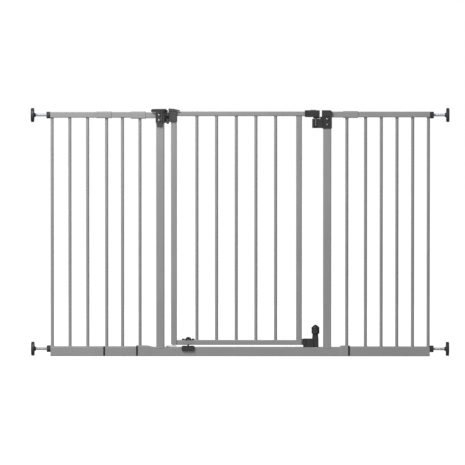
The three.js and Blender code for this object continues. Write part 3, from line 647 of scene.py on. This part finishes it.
def cross_head_screw(node):
    """A pan-head screw with a cross recess, its head to the front."""
    left, right, front, back = edges(node)[:4]
    spot = centre(node)
    radius = (right - left) / 2
    shank = 1.6 * MM
    seat = front + 2 * MM
    profile = [(0, back), (shank * 0.6, back), (shank, back - 1 * MM), (shank, seat), (radius, seat)]
    profile += [(radius, front + 1 * MM), (radius * 0.93, front + 0.6 * MM)]
    profile += [(radius * 0.75, front + 0.25 * MM), (radius * 0.45, front + 0.05 * MM), (0, front)]
    body = turned(profile, on_y(spot.x, spot.z), 24)
    out = front - 1 * MM
    deep = front + 1.1 * MM
    slots = [
        block(spot.x - half, spot.x + half, out, deep, spot.z - other, spot.z + other)
        for half, other in ((1.9 * MM, 0.45 * MM), (0.45 * MM, 1.9 * MM))
    ]
    piece(node, carved(body, *slots), DULL_ZINC)


def make_screws():
    for stem in ("hinge_screw", "catch_screw"):
        for height in ("upper", "lower"):
            cross_head_screw(f"{stem}_{height}")


def make_hinge_pin():
    """A domed head above the upper ear and a press-on clip under the lower one."""
    bottom, top = edges("hinge_pin")[4:]
    spot = centre("hinge_pin")
    head = 3.6 * MM
    shank = 2.5 * MM
    clip_top = bottom + 3.3 * MM
    head_low = top - 2.1 * MM
    profile = [(0, bottom), (shank - 0.4 * MM, bottom), (shank, bottom + 0.4 * MM), (shank, bottom + 1 * MM)]
    profile += [(head, bottom + 1 * MM), (head, clip_top), (shank, clip_top), (shank, head_low)]
    profile += [(head, head_low), (head, top - 1.2 * MM), (head * 0.8, top - 0.4 * MM), (0, top)]
    piece("hinge_pin", turned(profile, on_z(spot.x, spot.y), 28))


def make_lower_pivot():
    """A bush in the base rail, and the door's pivot: a pin, a strap, a neck and a foot in the stile."""
    axis = centre("lower_pivot_bush")
    place = on_z(axis.x, axis.y)
    low, high = edges("lower_pivot_bush")[4:]
    rim = edges("base_rail")[5]
    bush = [(3.1 * MM, low), (4 * MM, low), (4 * MM, rim), (5 * MM, rim + 0.1 * MM)]
    bush += [(5 * MM, high - 0.2 * MM), (4.8 * MM, high), (3.1 * MM, high)]
    piece("lower_pivot_bush", turned(bush, place, 28, loop=True))

    left, _, _, _, bottom, top = edges("lower_pivot_pin")
    stile = centre("door_stile_left")
    strap_low = 30.2 * MM
    strap_high = 32.8 * MM
    pin_high = strap_high - 1 * MM
    pin = [(0, bottom), (2 * MM, bottom), (2.8 * MM, bottom + 0.8 * MM), (2.8 * MM, pin_high), (0, pin_high)]
    strap_right = -199 * MM
    strap_front = -11 * MM
    strap_back = 5 * MM
    narrow = 4.5 * MM
    corners = [(left, axis.y - narrow), (strap_right, strap_front)]
    corners += [(strap_right, strap_back), (left, axis.y + narrow)]
    plate = rounded(corners, 2.5 * MM)
    strap = prism(plate, soft(strap_low, strap_high, 0.5 * MM), upwards)
    neck = rod(stile.x, 0, 4 * MM, pin_high, strap_high + 3 * MM)
    half = 7.2 * MM
    plug = rectangle(stile.x - half, stile.x + half, -half, half, 2 * MM)
    foot_low = strap_high + 2.8 * MM
    foot = prism(plug, soft(foot_low, top, 0.5 * MM), upwards)
    piece("lower_pivot_pin", fused(strap, turned(pin, place, 28), neck, foot), PALE_ZINC)


# ---- Upper hinge ----


def post_room(post):
    """The space that a post takes up inside a moulding."""
    left, right, front, back, _, top = edges(post)
    depth = 80 * MM
    return block(left - GAP, right + GAP, front - GAP, back + GAP, top - depth, top + GAP)


def stub_room(side, left, right):
    """The space that a stub of the top rail takes up inside a moulding."""
    _, _, front, back, bottom, top = edges(f"top_stub_{side}")
    return block(left, right, front - GAP, back + GAP, bottom - GAP, top + GAP)


def door_rail_room(left, right):
    """The space that the door's top rail takes up inside a moulding."""
    low, high = edges("door_top_rail")[4:]
    half = 7.5 * MM
    return block(left, right, -half, half, low - GAP, high + GAP)


def screw_bosses(stem, front, back, radius):
    """A round boss round each of the two screws of a moulding."""
    spots = [centre(f"{stem}_{height}") for height in ("upper", "lower")]
    levels = soft(front + 0.2 * MM, back, 0.4 * MM)
    return [prism(circle(spot.x, spot.z, radius), levels, backwards) for spot in spots]


def hollow(face, front, depth, slope):
    """A shallow pocket in a front face. Its sides slope, so that its rim shows."""
    levels = [(front - 2 * MM, slope), (front - 0.2 * MM, slope), (front + depth, -slope)]
    return prism(face, levels, backwards)


def inner_pocket(left, right, front, bottom, top, rib, depth, edge, corner):
    """A shallow pocket in a block's front face, with a rib of one width left all round."""
    near = front - 3 * MM
    far = front + depth
    return block(left + rib, right - rib, near, far, bottom + rib, top - rib, edge, corner)


def hinge_axis():
    spot = centre("hinge_pin")
    return spot.x, spot.y


def pin_hole(low, high):
    return rod(*hinge_axis(), PIN_BORE, low - PAST, high + PAST)


def hinge_ear(bottom, top, sleeve_right):
    """A lug round the hinge pin, joined to the bracket's sleeve by a web."""
    x, y = hinge_axis()
    lug = prism(circle(x, y, 5 * MM, 28), soft(bottom, top, 0.5 * MM), upwards)
    web = prism(rectangle(sleeve_right - 2 * MM, x, y - 2 * MM, y + 5 * MM), flat(bottom, top), upwards)
    return fused(lug, web)


def hinge_sleeve(left, right, low):
    """A sleeve round the post, with a pocketed panel, two screw bosses and a tab at its foot."""
    _, _, front, _, bottom, _ = edges("hinge_bracket")
    post_top = edges("post_left")[5]
    half_depth = 14.6 * MM
    plan = rectangle(left, right, -half_depth, half_depth, 3 * MM)
    sleeve = prism(plan, soft(low, post_top + 2 * MM, 0.8 * MM), upwards)

    panel_right = right - 6.9 * MM
    panel_high = post_top + 1 * MM
    panel_back = -12 * MM
    corners = [(left, low, 5 * MM), (panel_right, low, 5 * MM), (panel_right, panel_high), (left, panel_high)]
    face = rounded(corners)
    panel = prism(face, soft(front, panel_back, 1 * MM), backwards)
    rim = 3.4 * MM
    pocket = hollow(grown(face, -rim), front, 2.4 * MM, 1.3 * MM)
    bosses = screw_bosses("hinge_screw", front, panel_back, 5 * MM)

    tab_front = -17.4 * MM
    tab_back = -13.2 * MM
    tab_right = panel_right - 0.4 * MM
    tab = block(left + 3.6 * MM, tab_right, tab_front, tab_back, bottom, low + 4 * MM, 0.9 * MM, 2 * MM)
    return [carved(fused(sleeve, panel), pocket), *bosses, tab]


def hinge_plate(sleeve_right, tail_right):
    """The plate over the post's top, rounded in plan, with a tail towards the pin."""
    left, _, _, back, _, top = edges("hinge_bracket")
    low = edges("post_left")[5]
    foot = low + 0.2 * MM
    high = top - 0.6 * MM
    right = sleeve_right - 0.1 * MM
    corners = [(left, foot, 3 * MM), (right, foot), (right, top)]
    corners += [(left + 6 * MM, high, 14 * MM), (left, high - 2 * MM, 3.6 * MM)]
    plate = prism(rounded(corners), soft(-back, back, 2 * MM), backwards)
    corners = [(left, -back, 9 * MM), (sleeve_right, -back, 3 * MM), (sleeve_right, back)]
    plan = rounded([*corners, (left, back, 9 * MM)], steps=8)
    plate = shared(plate, prism(plan, flat(low - PAST, top + PAST), upwards))
    tail_left = sleeve_right - 2 * MM
    corners = [(tail_left, low), (tail_right, low, 1 * MM), (tail_right, top - 5 * MM, 2 * MM)]
    corners += [(sleeve_right + 2 * MM, top - 0.2 * MM, 2 * MM), (tail_left, top)]
    tail = prism(rounded(corners), soft(-0.7 * MM, back, 0.8 * MM), backwards)
    return fused(plate, tail)


def make_hinge_bracket():
    """A sleeve on the hinge post with two ears for the pin, and a charcoal plate over its top."""
    left, _, _, _, _, top = edges("hinge_bracket")
    post_left, post_right, _, _, _, post_top = edges("post_left")
    x = hinge_axis()[0]
    pin_low, pin_high = edges("hinge_pin")[4:]
    lower_ear = pin_low + 3.6 * MM
    upper_ear = pin_high - 2.4 * MM
    sleeve_right = post_right + 1.7 * MM
    sleeve_parts = hinge_sleeve(post_left - 1.6 * MM, sleeve_right, lower_ear - 1 * MM)
    spine_ends = sleeve_right - 1 * MM, x - 2.4 * MM
    spine_front = -1.7 * MM
    spine_back = 13 * MM
    spine = block(*spine_ends, spine_front, spine_back, lower_ear - GAP, post_top + 1 * MM, 0.8 * MM)
    ears = [
        hinge_ear(lower_ear, lower_ear + 5 * MM, sleeve_right),
        hinge_ear(upper_ear - 8 * MM, upper_ear, sleeve_right),
    ]
    bore = pin_hole(lower_ear, top)
    rooms = [post_room("post_left"), stub_room("left", left + 5 * MM, post_left + 1 * MM)]
    # The sleeve, spine and ears take the lighter hinge plastic, whose raised tone is painted sheen.
    piece("hinge_bracket", carved(fused(*sleeve_parts, spine, *ears), bore, *rooms), HINGE_PLASTIC_PAINTED_SHEEN)
    plate = hinge_plate(sleeve_right, x - 0.4 * MM)
    extra("hinge_bracket_plate", "hinge_bracket", carved(plate, bore, *rooms))


def make_door_cap():
    """The cap on the door's hinge corner, with a wing along the top rail and a barrel round the pin."""
    _, right, front, back, bottom, top = edges("door_hinge_cap")
    x, y = hinge_axis()
    stile_left, stile_right = edges("door_stile_left")[:2]
    rail_low, rail_high = edges("door_top_rail")[4:]
    cap_left = stile_left - 8 * MM
    cap_right = stile_right + 1.3 * MM
    wing = rail_high + 0.6 * MM
    corners = [(cap_left, bottom, 2.5 * MM), (cap_right, bottom, 2.5 * MM), (cap_right, wing, 0.6 * MM)]
    corners += [(right, wing, 1.2 * MM), (right, wing + 3.2 * MM, 1.6 * MM)]
    corners += [(cap_right - 9 * MM, top - 1.2 * MM, 20 * MM), (cap_left, top, 2.5 * MM)]
    body = prism(rounded(corners), soft(front, back, 0.8 * MM), backwards)
    plan = rectangle(cap_left, right + 6 * MM, front, back, 4 * MM, 6)
    body = shared(body, prism(plan, flat(bottom - PAST, top + PAST), upwards))
    rim = 2.2 * MM
    corners = [(cap_left + rim, bottom + rim, 2 * MM), (cap_right - rim, bottom + rim, 2 * MM)]
    corners += [(cap_right - rim, wing - 0.5 * MM, 1 * MM), (cap_left + rim, wing + 1 * MM, 1 * MM)]
    face = rounded(corners)
    behind = prism(face, flat(back - 0.8 * MM, back + 4 * MM), backwards)
    pockets = [hollow(face, front, 1.5 * MM, 0.8 * MM), behind]
    barrel_low = edges("hinge_pin")[4] + 8.9 * MM
    barrel_high = barrel_low + 6.4 * MM
    lug_room = 5.4 * MM
    above = rod(x, y, lug_room, barrel_high, top + PAST)
    below = rod(x, y, lug_room, bottom - PAST, barrel_low)
    stile_half = 9.3 * MM
    room_left = stile_left - GAP
    stile_room = block(room_left, stile_right + GAP, -stile_half, stile_half, bottom - PAST, rail_low)
    rail_room = door_rail_room(room_left, right + PAST)
    barrel = prism(circle(x, y, 4.5 * MM, 28), soft(barrel_low, barrel_high, 0.4 * MM), upwards)
    web = block(x, cap_left + 2 * MM, y - 3 * MM, y + 3 * MM, barrel_low, barrel_high)
    shell = carved(body, *pockets, above, below, stile_room, rail_room)
    # The cap takes the lighter hinge plastic, whose raised tone is painted sheen.
    piece("door_hinge_cap", carved(fused(shell, barrel, web), pin_hole(bottom, top)), HINGE_PLASTIC_PAINTED_SHEEN)


# ---- Latch ----


def make_catch():
    """A sleeve on the latch post with a closed top, and a block beside it with an open channel."""
    left, right, front, back, bottom, top = edges("latch_catch")
    post_left, post_right = edges("post_right")[:2]
    tower_left = post_left - 4.1 * MM
    chamfer = 4 * MM
    corners = [(tower_left, bottom, 1.5 * MM), (right, bottom, 2 * MM), (right, top - chamfer, 1 * MM)]
    corners += [(right - chamfer, top, 1 * MM), (tower_left, top, 1.2 * MM)]
    tower = prism(rounded(corners), soft(front, back, 1.2 * MM), backwards)
    rim = 6.2 * MM
    low = bottom + 3.5 * MM
    pocket_face = rectangle(tower_left + 3 * MM, right - rim, low, low + 34 * MM, 3 * MM)
    pocket = hollow(pocket_face, front, 1.6 * MM, 1 * MM)
    bosses = screw_bosses("catch_screw", front, -11 * MM, 4.8 * MM)

    block_top = 739.6 * MM
    block_back = 12 * MM
    block_low = bottom + 1.4 * MM
    sunk = tower_left + 2 * MM
    side_block = block(left, sunk, front, block_back, block_low, block_top, 1 * MM, 1.5 * MM)
    riser_left = 249 * MM
    riser_top = 746 * MM
    riser = block(riser_left, sunk, -block_back, block_back, block_top - 3 * MM, riser_top, 0.8 * MM, 1 * MM)
    tongue_left, tongue_right = edges("latch_tongue")[:2]
    slack = 1.1 * MM
    ends = tongue_left - slack, tongue_right + slack
    channel_back = 7.4 * MM
    channel = block(*ends, front - 3 * MM, channel_back, bottom - PAST, block_top + PAST)
    body = fused(carved(tower, pocket), *bosses, side_block, riser)
    rooms = [post_room("post_right"), stub_room("right", post_right - 1 * MM, right + 5 * MM)]
    piece("latch_catch", carved(body, channel, *rooms))


def make_handle():
    """The latch handle: a grip over the end of the top rail, a neck below and the slider's slot on top."""
    left, right, front, back, bottom, top = edges("handle_shell")
    tongue_left, tongue_right, _, _, _, tongue_top = edges("latch_tongue")
    slider_left, slider_right, slider_front, slider_back, slider_low, _ = edges("thumb_slider")
    grip_low = 744.4 * MM
    grip = block(left, right, front, back, grip_low, top, 1.6 * MM, 2 * MM)
    neck_left = 228 * MM
    neck_half = 10 * MM
    neck = block(neck_left, right, -neck_half, neck_half, bottom, grip_low + 3 * MM, 1 * MM, 0.8 * MM)
    body = fused(grip, neck)
    seam_x = 240 * MM
    seam_half = 0.35 * MM
    seam = seam_x - seam_half, seam_x + seam_half
    seam_depth = 0.5 * MM
    before = front - 2 * MM
    behind = back + 2 * MM
    below = bottom - 10 * MM
    above = top + 14 * MM
    seams = [
        block(*seam, before, front + seam_depth, below, above),
        block(*seam, back - seam_depth, behind, below, above),
        block(*seam, before, behind, top - seam_depth, above),
    ]
    travel = 9 * MM
    slot_ends = slider_left - travel, slider_right + GAP
    slot = block(*slot_ends, slider_front - GAP, slider_back + GAP, slider_low - GAP, top + PAST)
    rail_room = door_rail_room(left - PAST, edges("door_top_rail")[1] + GAP)
    socket_front = TONGUE_FRONT - GAP
    socket_back = TONGUE_BACK + GAP
    socket_ends = tongue_left - GAP, tongue_right + GAP
    socket = block(*socket_ends, socket_front, socket_back, bottom - PAST, tongue_top + GAP)
    piece("handle_shell", carved(body, *seams, slot, rail_room, socket))


def make_slider():
    """The thumb slider, ribbed across its travel."""
    left, right, front, back, bottom, top = edges("thumb_slider")
    plate = block(left, right, front, back, bottom, bottom + 2.6 * MM, 0.3 * MM, 0.6 * MM)
    shapes = [plate]
    count = 6
    margin = 2 * MM
    pitch = (right - left - 2 * margin) / (count - 1)
    foot = 1 * MM
    crest = 0.5 * MM
    low = bottom + 2 * MM
    for i in range(count):
        x = left + margin + i * pitch
        corners = [(x - foot, low), (x + foot, low), (x + crest, top, 0.4 * MM), (x - crest, top, 0.4 * MM)]
        levels = soft(front + 1 * MM, back - 1 * MM, 0.4 * MM)
        shapes.append(prism(rounded(corners), levels, backwards))
    piece("thumb_slider", fused(*shapes))


def make_tongue():
    """The tongue under the handle. Its nose is rounded."""
    left, right, front, back, bottom, top = edges("latch_tongue")
    nose = (right - left) / 2 - 0.1 * MM
    corners = [(left, front, nose), (right, front, nose), (right, back, 1 * MM), (left, back, 1 * MM)]
    plan = rounded(corners, steps=6)
    neck_low = edges("handle_shell")[4]
    blade = prism(plan, soft(bottom, neck_low - GAP, 0.8 * MM), upwards)
    spigot_plan = rectangle(left, right, TONGUE_FRONT, TONGUE_BACK, 0.5 * MM)
    spigot = prism(spigot_plan, flat(neck_low - 2 * MM, top), upwards)
    # The lighter tongue plastic paints the highlight down the nose.
    piece("latch_tongue", fused(blade, spigot), TONGUE_PLASTIC_PAINTED_HIGHLIGHT)


# ---- Lower lock ----


def make_lower_lock():
    """The housing on the base rail, a cradle and a pillar in one, and the block on the door's foot."""
    left, right, front, back, bottom, top = edges("lower_lock_housing")
    knob = centre("lower_lock_knob")
    wall = 206.2 * MM
    box_top = 54.2 * MM
    pillar_left = 225.6 * MM
    main = block(wall, pillar_left + 3 * MM, front, back, bottom, box_top, 1 * MM, 1.2 * MM)
    floor_top = 34.2 * MM
    cradle_room = 5.8 * MM
    floor = block(left, wall + 2 * MM, front, back, bottom, floor_top, 0.6 * MM, 0.8 * MM)
    cradle_back = block(left, wall + 2 * MM, cradle_room, back, bottom, box_top, 0.8 * MM, 1.2 * MM)
    pillar_half = 9.5 * MM
    plan = rectangle(pillar_left - 1 * MM, right, -pillar_half, pillar_half, 3 * MM)
    taper = 1 * MM
    levels = [(bottom, 0), (box_top - 2 * MM, 0), (top - 0.8 * MM, -taper), (top, -taper - 0.8 * MM)]
    pillar = prism(plan, levels, upwards)
    bore = rod(knob.x, 0, 3.3 * MM, floor_top - 2.2 * MM, top + PAST)
    piece("lower_lock_housing", carved(fused(main, floor, cradle_back, pillar), bore))

    left, right, front, back, bottom, top = edges("lower_latch_block")
    body = block(left, right, front, back, bottom, top, 1 * MM, 1.6 * MM)
    pocket = inner_pocket(left, right, front, bottom, top, 3 * MM, 0.8 * MM, 0.3 * MM, 1 * MM)
    piece("lower_latch_block", carved(body, pocket))


def make_lock_knob():
    """The pull knob: a bolt, two full rims with a waist between, and a pointed top."""
    bottom, top = edges("lower_lock_knob")[4:]
    spot = centre("lower_lock_knob")
    neck = 68.2 * MM
    bolt = 3 * MM
    profile = [(0, bottom), (bolt - 0.5 * MM, bottom), (bolt, bottom + 0.5 * MM), (bolt, neck)]
    profile += [(8.2 * MM, neck), (9.4 * MM, neck + 0.5 * MM)]
    profile += arc_profile(10.8 * MM, neck + 4.4 * MM, 2 * MM, -0.7, 0.5)
    waist = neck + 12.7 * MM
    profile += [(12.3 * MM, waist - 4.2 * MM), (12.15 * MM, waist), (12.3 * MM, waist + 4.2 * MM)]
    profile += arc_profile(10.6 * MM, waist + 7.3 * MM, 2 * MM, -0.3, 0.55)
    profile += [(8.6 * MM, top - 5.2 * MM), (4.6 * MM, top - 1.9 * MM), (1.6 * MM, top - 0.3 * MM), (0, top)]
    piece("lower_lock_knob", turned(profile, on_z(spot.x, spot.y), 40))


# ---- Door stop ----


def make_door_stop():
    """An arch and two wings on the bottom rail, a stem through it, and a pad in front of the base rail."""
    left, right, front, back, bottom, top = edges("door_stop")
    x = (left + right) / 2
    rail_top = edges("door_bottom_rail")[5] + GAP
    arch_half = 9.6 * MM
    foot = rail_top + GAP
    outer = [(x + arch_half * math.cos(a), foot + (top - foot) * math.sin(a)) for a in half_turn()]
    inner_half = 3.4 * MM
    rise = 4.4 * MM
    inner = [(x + inner_half * math.cos(a), foot + rise * math.sin(a)) for a in half_turn()[::-1]]
    arch = prism([Vector(p) for p in outer + inner], soft(-back, back, 0.5 * MM), backwards)
    wing_half = 6 * MM
    wing_levels = soft(rail_top, rail_top + 2 * MM, 0.5 * MM)
    wings = prism(rectangle(left, right, -wing_half, wing_half, 4 * MM), wing_levels, upwards)
    tip = 9 * MM
    tip_half = 6.2 * MM
    tip_low = rail_top + 0.1 * MM
    tip_high = rail_top + 4 * MM
    tips = [
        block(at, at + tip, -tip_half, tip_half, tip_low, tip_high, 1 * MM, 1.6 * MM)
        for at in (left - 0.1 * MM, right + 0.1 * MM - tip)
    ]
    arm_low = 30.2 * MM
    arm_high = 34.4 * MM
    stem = rod(x, 0, 2.5 * MM, arm_low + 0.8 * MM, rail_top + 1 * MM)
    arm_half = 3 * MM
    arm_front = -15 * MM
    arm = block(x - arm_half, x + arm_half, arm_front, arm_half, arm_low, arm_high, 0.6 * MM, 0.6 * MM)
    pad_back = -13 * MM
    pad_top = 33 * MM
    pad = block(left, right, front, pad_back, bottom, pad_top, 1 * MM, 4 * MM)
    pocket = inner_pocket(left, right, front, bottom, pad_top, 2.4 * MM, 0.6 * MM, 0.2 * MM, 2 * MM)
    piece("door_stop", fused(arch, wings, *tips, stem, arm, carved(pad, pocket)))

    wedge_low = rail_top + 1.8 * MM
    half = 2.6 * MM
    wedge = rounded([(x - half, wedge_low), (x + half, wedge_low), (x, wedge_low + 3.6 * MM)], 0.4 * MM)
    depth = 4.5 * MM
    shell = prism(wedge, soft(-depth, depth, 0.4 * MM), backwards)
    extra("door_stop_wedge", "door_stop", shell, GREY_PLASTIC)


def half_turn(steps=14):
    return [math.pi * k / steps for k in range(steps + 1)]


# ---- Wall fittings ----


def thread_hole(axis, left, right):
    return rod(axis.y, axis.z, THREAD_BORE, left - PAST, right + PAST, sideways)


def make_end_plug(node, spindle):
    left, right, front, back, bottom, top = edges(node)
    body = prism(rectangle(front, back, bottom, top, 2.2 * MM), soft(left, right, 0.5 * MM), sideways)
    piece(node, carved(body, thread_hole(centre(spindle), left, right)))


def make_spindle(node):
    """A rod with a real right-hand thread, its ends chamfered."""
    left, right, _, _, bottom, top = edges(node)
    axis = centre(node)
    major = (top - bottom) / 2
    around = 24
    rings_per_turn = 6
    along = round((right - left) / THREAD_PITCH * rings_per_turn)
    chamfer = 1.2 * MM
    rings = []
    for j in range(along + 1):
        x = left + (right - left) * j / along
        end_cut = max(0.0, chamfer - min(x - left, right - x))
        ring = []
        for i in range(around):
            turn = i / around
            phase = (x / THREAD_PITCH - turn) % 1.0
            groove = max(0.0, min(1.0, FLANK * abs(2 * phase - 1) - CREST))
            radius = major - max(THREAD_DEPTH * groove, end_cut)
            angle = 2 * math.pi * turn
            ring.append(Vector((x, axis.y + radius * math.cos(angle), axis.z + radius * math.sin(angle))))
        rings.append(ring)
    piece(node, loft(rings))


def make_nut(node, side):
    """A thumb nut with ribs all round, and a bright collar just inside its outer face."""
    left, right, _, _, bottom, top = edges(node)
    axis = centre(node)
    radius = (top - bottom) / 2
    ribs = 16
    points = 5 * ribs
    half_rib = 0.45 * MM
    outline = []
    for k in range(points):
        turn = k / points
        reach = radius - half_rib * (1 - math.cos(2 * math.pi * turn * ribs))
        angle = 2 * math.pi * turn
        outline.append(Vector((axis.y + reach * math.cos(angle), axis.z + reach * math.sin(angle))))
    body = prism(outline, soft(left, right, 1 * MM), sideways)
    outer = right if side > 0 else left
    dish = rod(axis.y, axis.z, 7.6 * MM, outer - 0.9 * MM, outer + 0.9 * MM, sideways, 32)
    piece(node, carved(body, thread_hole(axis, left, right), dish))
    rim = 1.8 * MM
    sunk = 1.9 * MM
    collar = [(THREAD_BORE, 0), (7 * MM, 0), (7 * MM, rim - 0.4 * MM), (6.6 * MM, rim), (THREAD_BORE, rim)]
    place = on_x(axis.y, axis.z, outer - side * sunk, side)
    extra(f"{node}_collar", node, turned(collar, place, 32, loop=True), MATERIALS["zinc_plate"])


def make_cup(node, side):
    """A dished cup with a hub round the spindle's end, and a rubber pad on its wall face."""
    left, right, _, _, bottom, top = edges(node)
    axis = centre(node)
    hub = left if side > 0 else right
    depth = right - left
    radius = (top - bottom) / 2
    pad = 1.8 * MM
    bore = 4.8 * MM
    bore_end = 10.5 * MM
    place = on_x(axis.y, axis.z, hub, side)
    profile = [(bore, bore_end), (bore, 0.4 * MM), (bore + 0.4 * MM, 0)]
    profile += [(5.9 * MM, 0), (6.4 * MM, 0.5 * MM), (6.8 * MM, 2.6 * MM), (7.6 * MM, 3.7 * MM)]
    profile += [(10 * MM, 4.2 * MM), (18.6 * MM, 4.7 * MM)]
    profile += arc_profile(radius - 1.6 * MM, 6.3 * MM, 1.6 * MM, -1.1, 0.4)
    pad_back = depth - pad
    profile += [(radius - 0.2 * MM, pad_back - 0.4 * MM), (radius - 0.6 * MM, pad_back)]
    profile += [(0, pad_back), (0, bore_end)]
    piece(node, turned(profile, place, 48, loop=True))

    face = depth - 0.02 * MM
    pad_profile = [(0, pad_back), (radius - 0.9 * MM, pad_back), (radius - 0.5 * MM, pad_back + 0.4 * MM)]
    pad_profile += [(radius - 0.8 * MM, face - 0.2 * MM), (radius - 1.1 * MM, face)]
    groove = 0.7 * MM
    for ring in (18 * MM, 14 * MM, 10 * MM, 6 * MM):
        pad_profile += [(ring + 0.8 * MM, face), (ring + 0.4 * MM, face - groove)]
        pad_profile += [(ring - 0.4 * MM, face - groove), (ring - 0.8 * MM, face)]
    pad_profile += [(0, face)]
    extra(f"{node}_pad", node, turned(pad_profile, place, 48), PAD_RUBBER)


def make_wall_fittings():
    for side, direction in SIDES.items():
        for level in LEVELS:
            where = f"{side}_{level}"
            make_end_plug(f"end_plug_{where}", f"spindle_{where}")
            make_spindle(f"spindle_{where}")
            make_nut(f"tension_nut_{where}", direction)
            make_cup(f"wall_cup_{where}", direction)


# ---- Studio ----


def make_camera():
    """Nearly level and square on, a little above the gate's middle, with the gate just right of centre."""
    width = CAD_HIGH.x - CAD_LOW.x
    distance = 12
    share_of_frame = 0.8987
    aside = 0.0181 * width
    azimuth = math.radians(0.6)
    elevation = math.radians(1.6)
    drop = 0.001 * width
    target = Vector(((CAD_LOW.x + CAD_HIGH.x) / 2 - aside, 0, (CAD_LOW.z + CAD_HIGH.z) / 2 - drop))
    level = math.cos(elevation)
    back = Vector((math.sin(azimuth) * level, -math.cos(azimuth) * level, math.sin(elevation)))
    data = bpy.data.cameras.new("camera")
    data.sensor_width = 36
    data.lens = data.sensor_width * distance * share_of_frame / width
    data.clip_end = 100
    camera = placed("camera", data)
    camera.location = target + back * distance
    camera.rotation_euler = (-back).to_track_quat("-Z", "Y").to_euler()
    bpy.context.scene.camera = camera


def area_light(name, location, target, size, power):
    data = bpy.data.lights.new(name, "AREA")
    data.shape = "DISK"
    data.size = size
    data.energy = power
    light = placed(name, data)
    light.location = location
    light.rotation_euler = (Vector(target) - Vector(location)).to_track_quat("-Z", "Y").to_euler()
    return light


def make_lights():
    """A key from the upper left, and a light behind the gate that leaves no glints."""
    area_light("key", **KEY_LIGHT)
    area_light("back", **BACK_LIGHT).visible_glossy = False


def make_floor():
    reach = 30
    outline = rectangle(-reach, reach, -reach, reach)
    mesh = clean_mesh("floor", prism(outline, flat(-0.05, 0), upwards))
    material, tree, shader = new_material("pale_floor", 0.0, 0.2)
    colour = mottled(tree, grain(tree, 2), (0.05, 0.05, 0.05), (0.06, 0.06, 0.06))
    tree.links.new(colour, shader.inputs["Base Color"])
    shader.inputs["Roughness"].default_value = 0.9
    shader.inputs["Emission Color"].default_value = (1, 1, 1, 1)
    shader.inputs["Emission Strength"].default_value = 1.0
    mesh.materials.append(material)
    floor = placed("floor", mesh)
    floor.visible_diffuse = False
    floor.visible_glossy = False


def make_world():
    """Shows white, and gives an even light that comes more from the front than from behind."""
    world = bpy.data.worlds.new("studio")
    world.use_nodes = True
    tree = world.node_tree
    seen = tree.nodes["Background"]
    seen.inputs["Color"].default_value = (1, 1, 1, 1)
    direction = add_node(tree, "ShaderNodeTexCoord").outputs["Generated"]
    forward = add_node(tree, "ShaderNodeSeparateXYZ", {"Vector": direction}).outputs["Y"]
    strength = ramp(tree, forward, FRONT_FILL, BACK_FILL, -1, 0.4)
    fill = add_node(tree, "ShaderNodeBackground", {"Color": (1, 1, 1, 1), "Strength": strength})
    is_seen = add_node(tree, "ShaderNodeLightPath").outputs["Is Camera Ray"]
    either = add_node(tree, "ShaderNodeMixShader", {0: is_seen})
    tree.links.new(fill.outputs["Background"], either.inputs[1])
    tree.links.new(seen.outputs["Background"], either.inputs[2])
    tree.links.new(either.outputs["Shader"], tree.nodes["World Output"].inputs["Surface"])
    bpy.context.scene.world = world
    bpy.context.scene.view_settings.view_transform = "Standard"
    bpy.context.scene.view_settings.look = "None"


# ---- The gate ----


make_base()
make_posts()
make_top_stubs()
make_frame_bars()
make_extensions()
make_door_frame()
make_screws()
make_hinge_pin()
make_lower_pivot()
make_hinge_bracket()
make_door_cap()
make_catch()
make_handle()
make_slider()
make_tongue()
make_lower_lock()
make_lock_knob()
make_door_stop()
make_wall_fittings()
make_camera()
make_lights()
make_floor()
make_world()
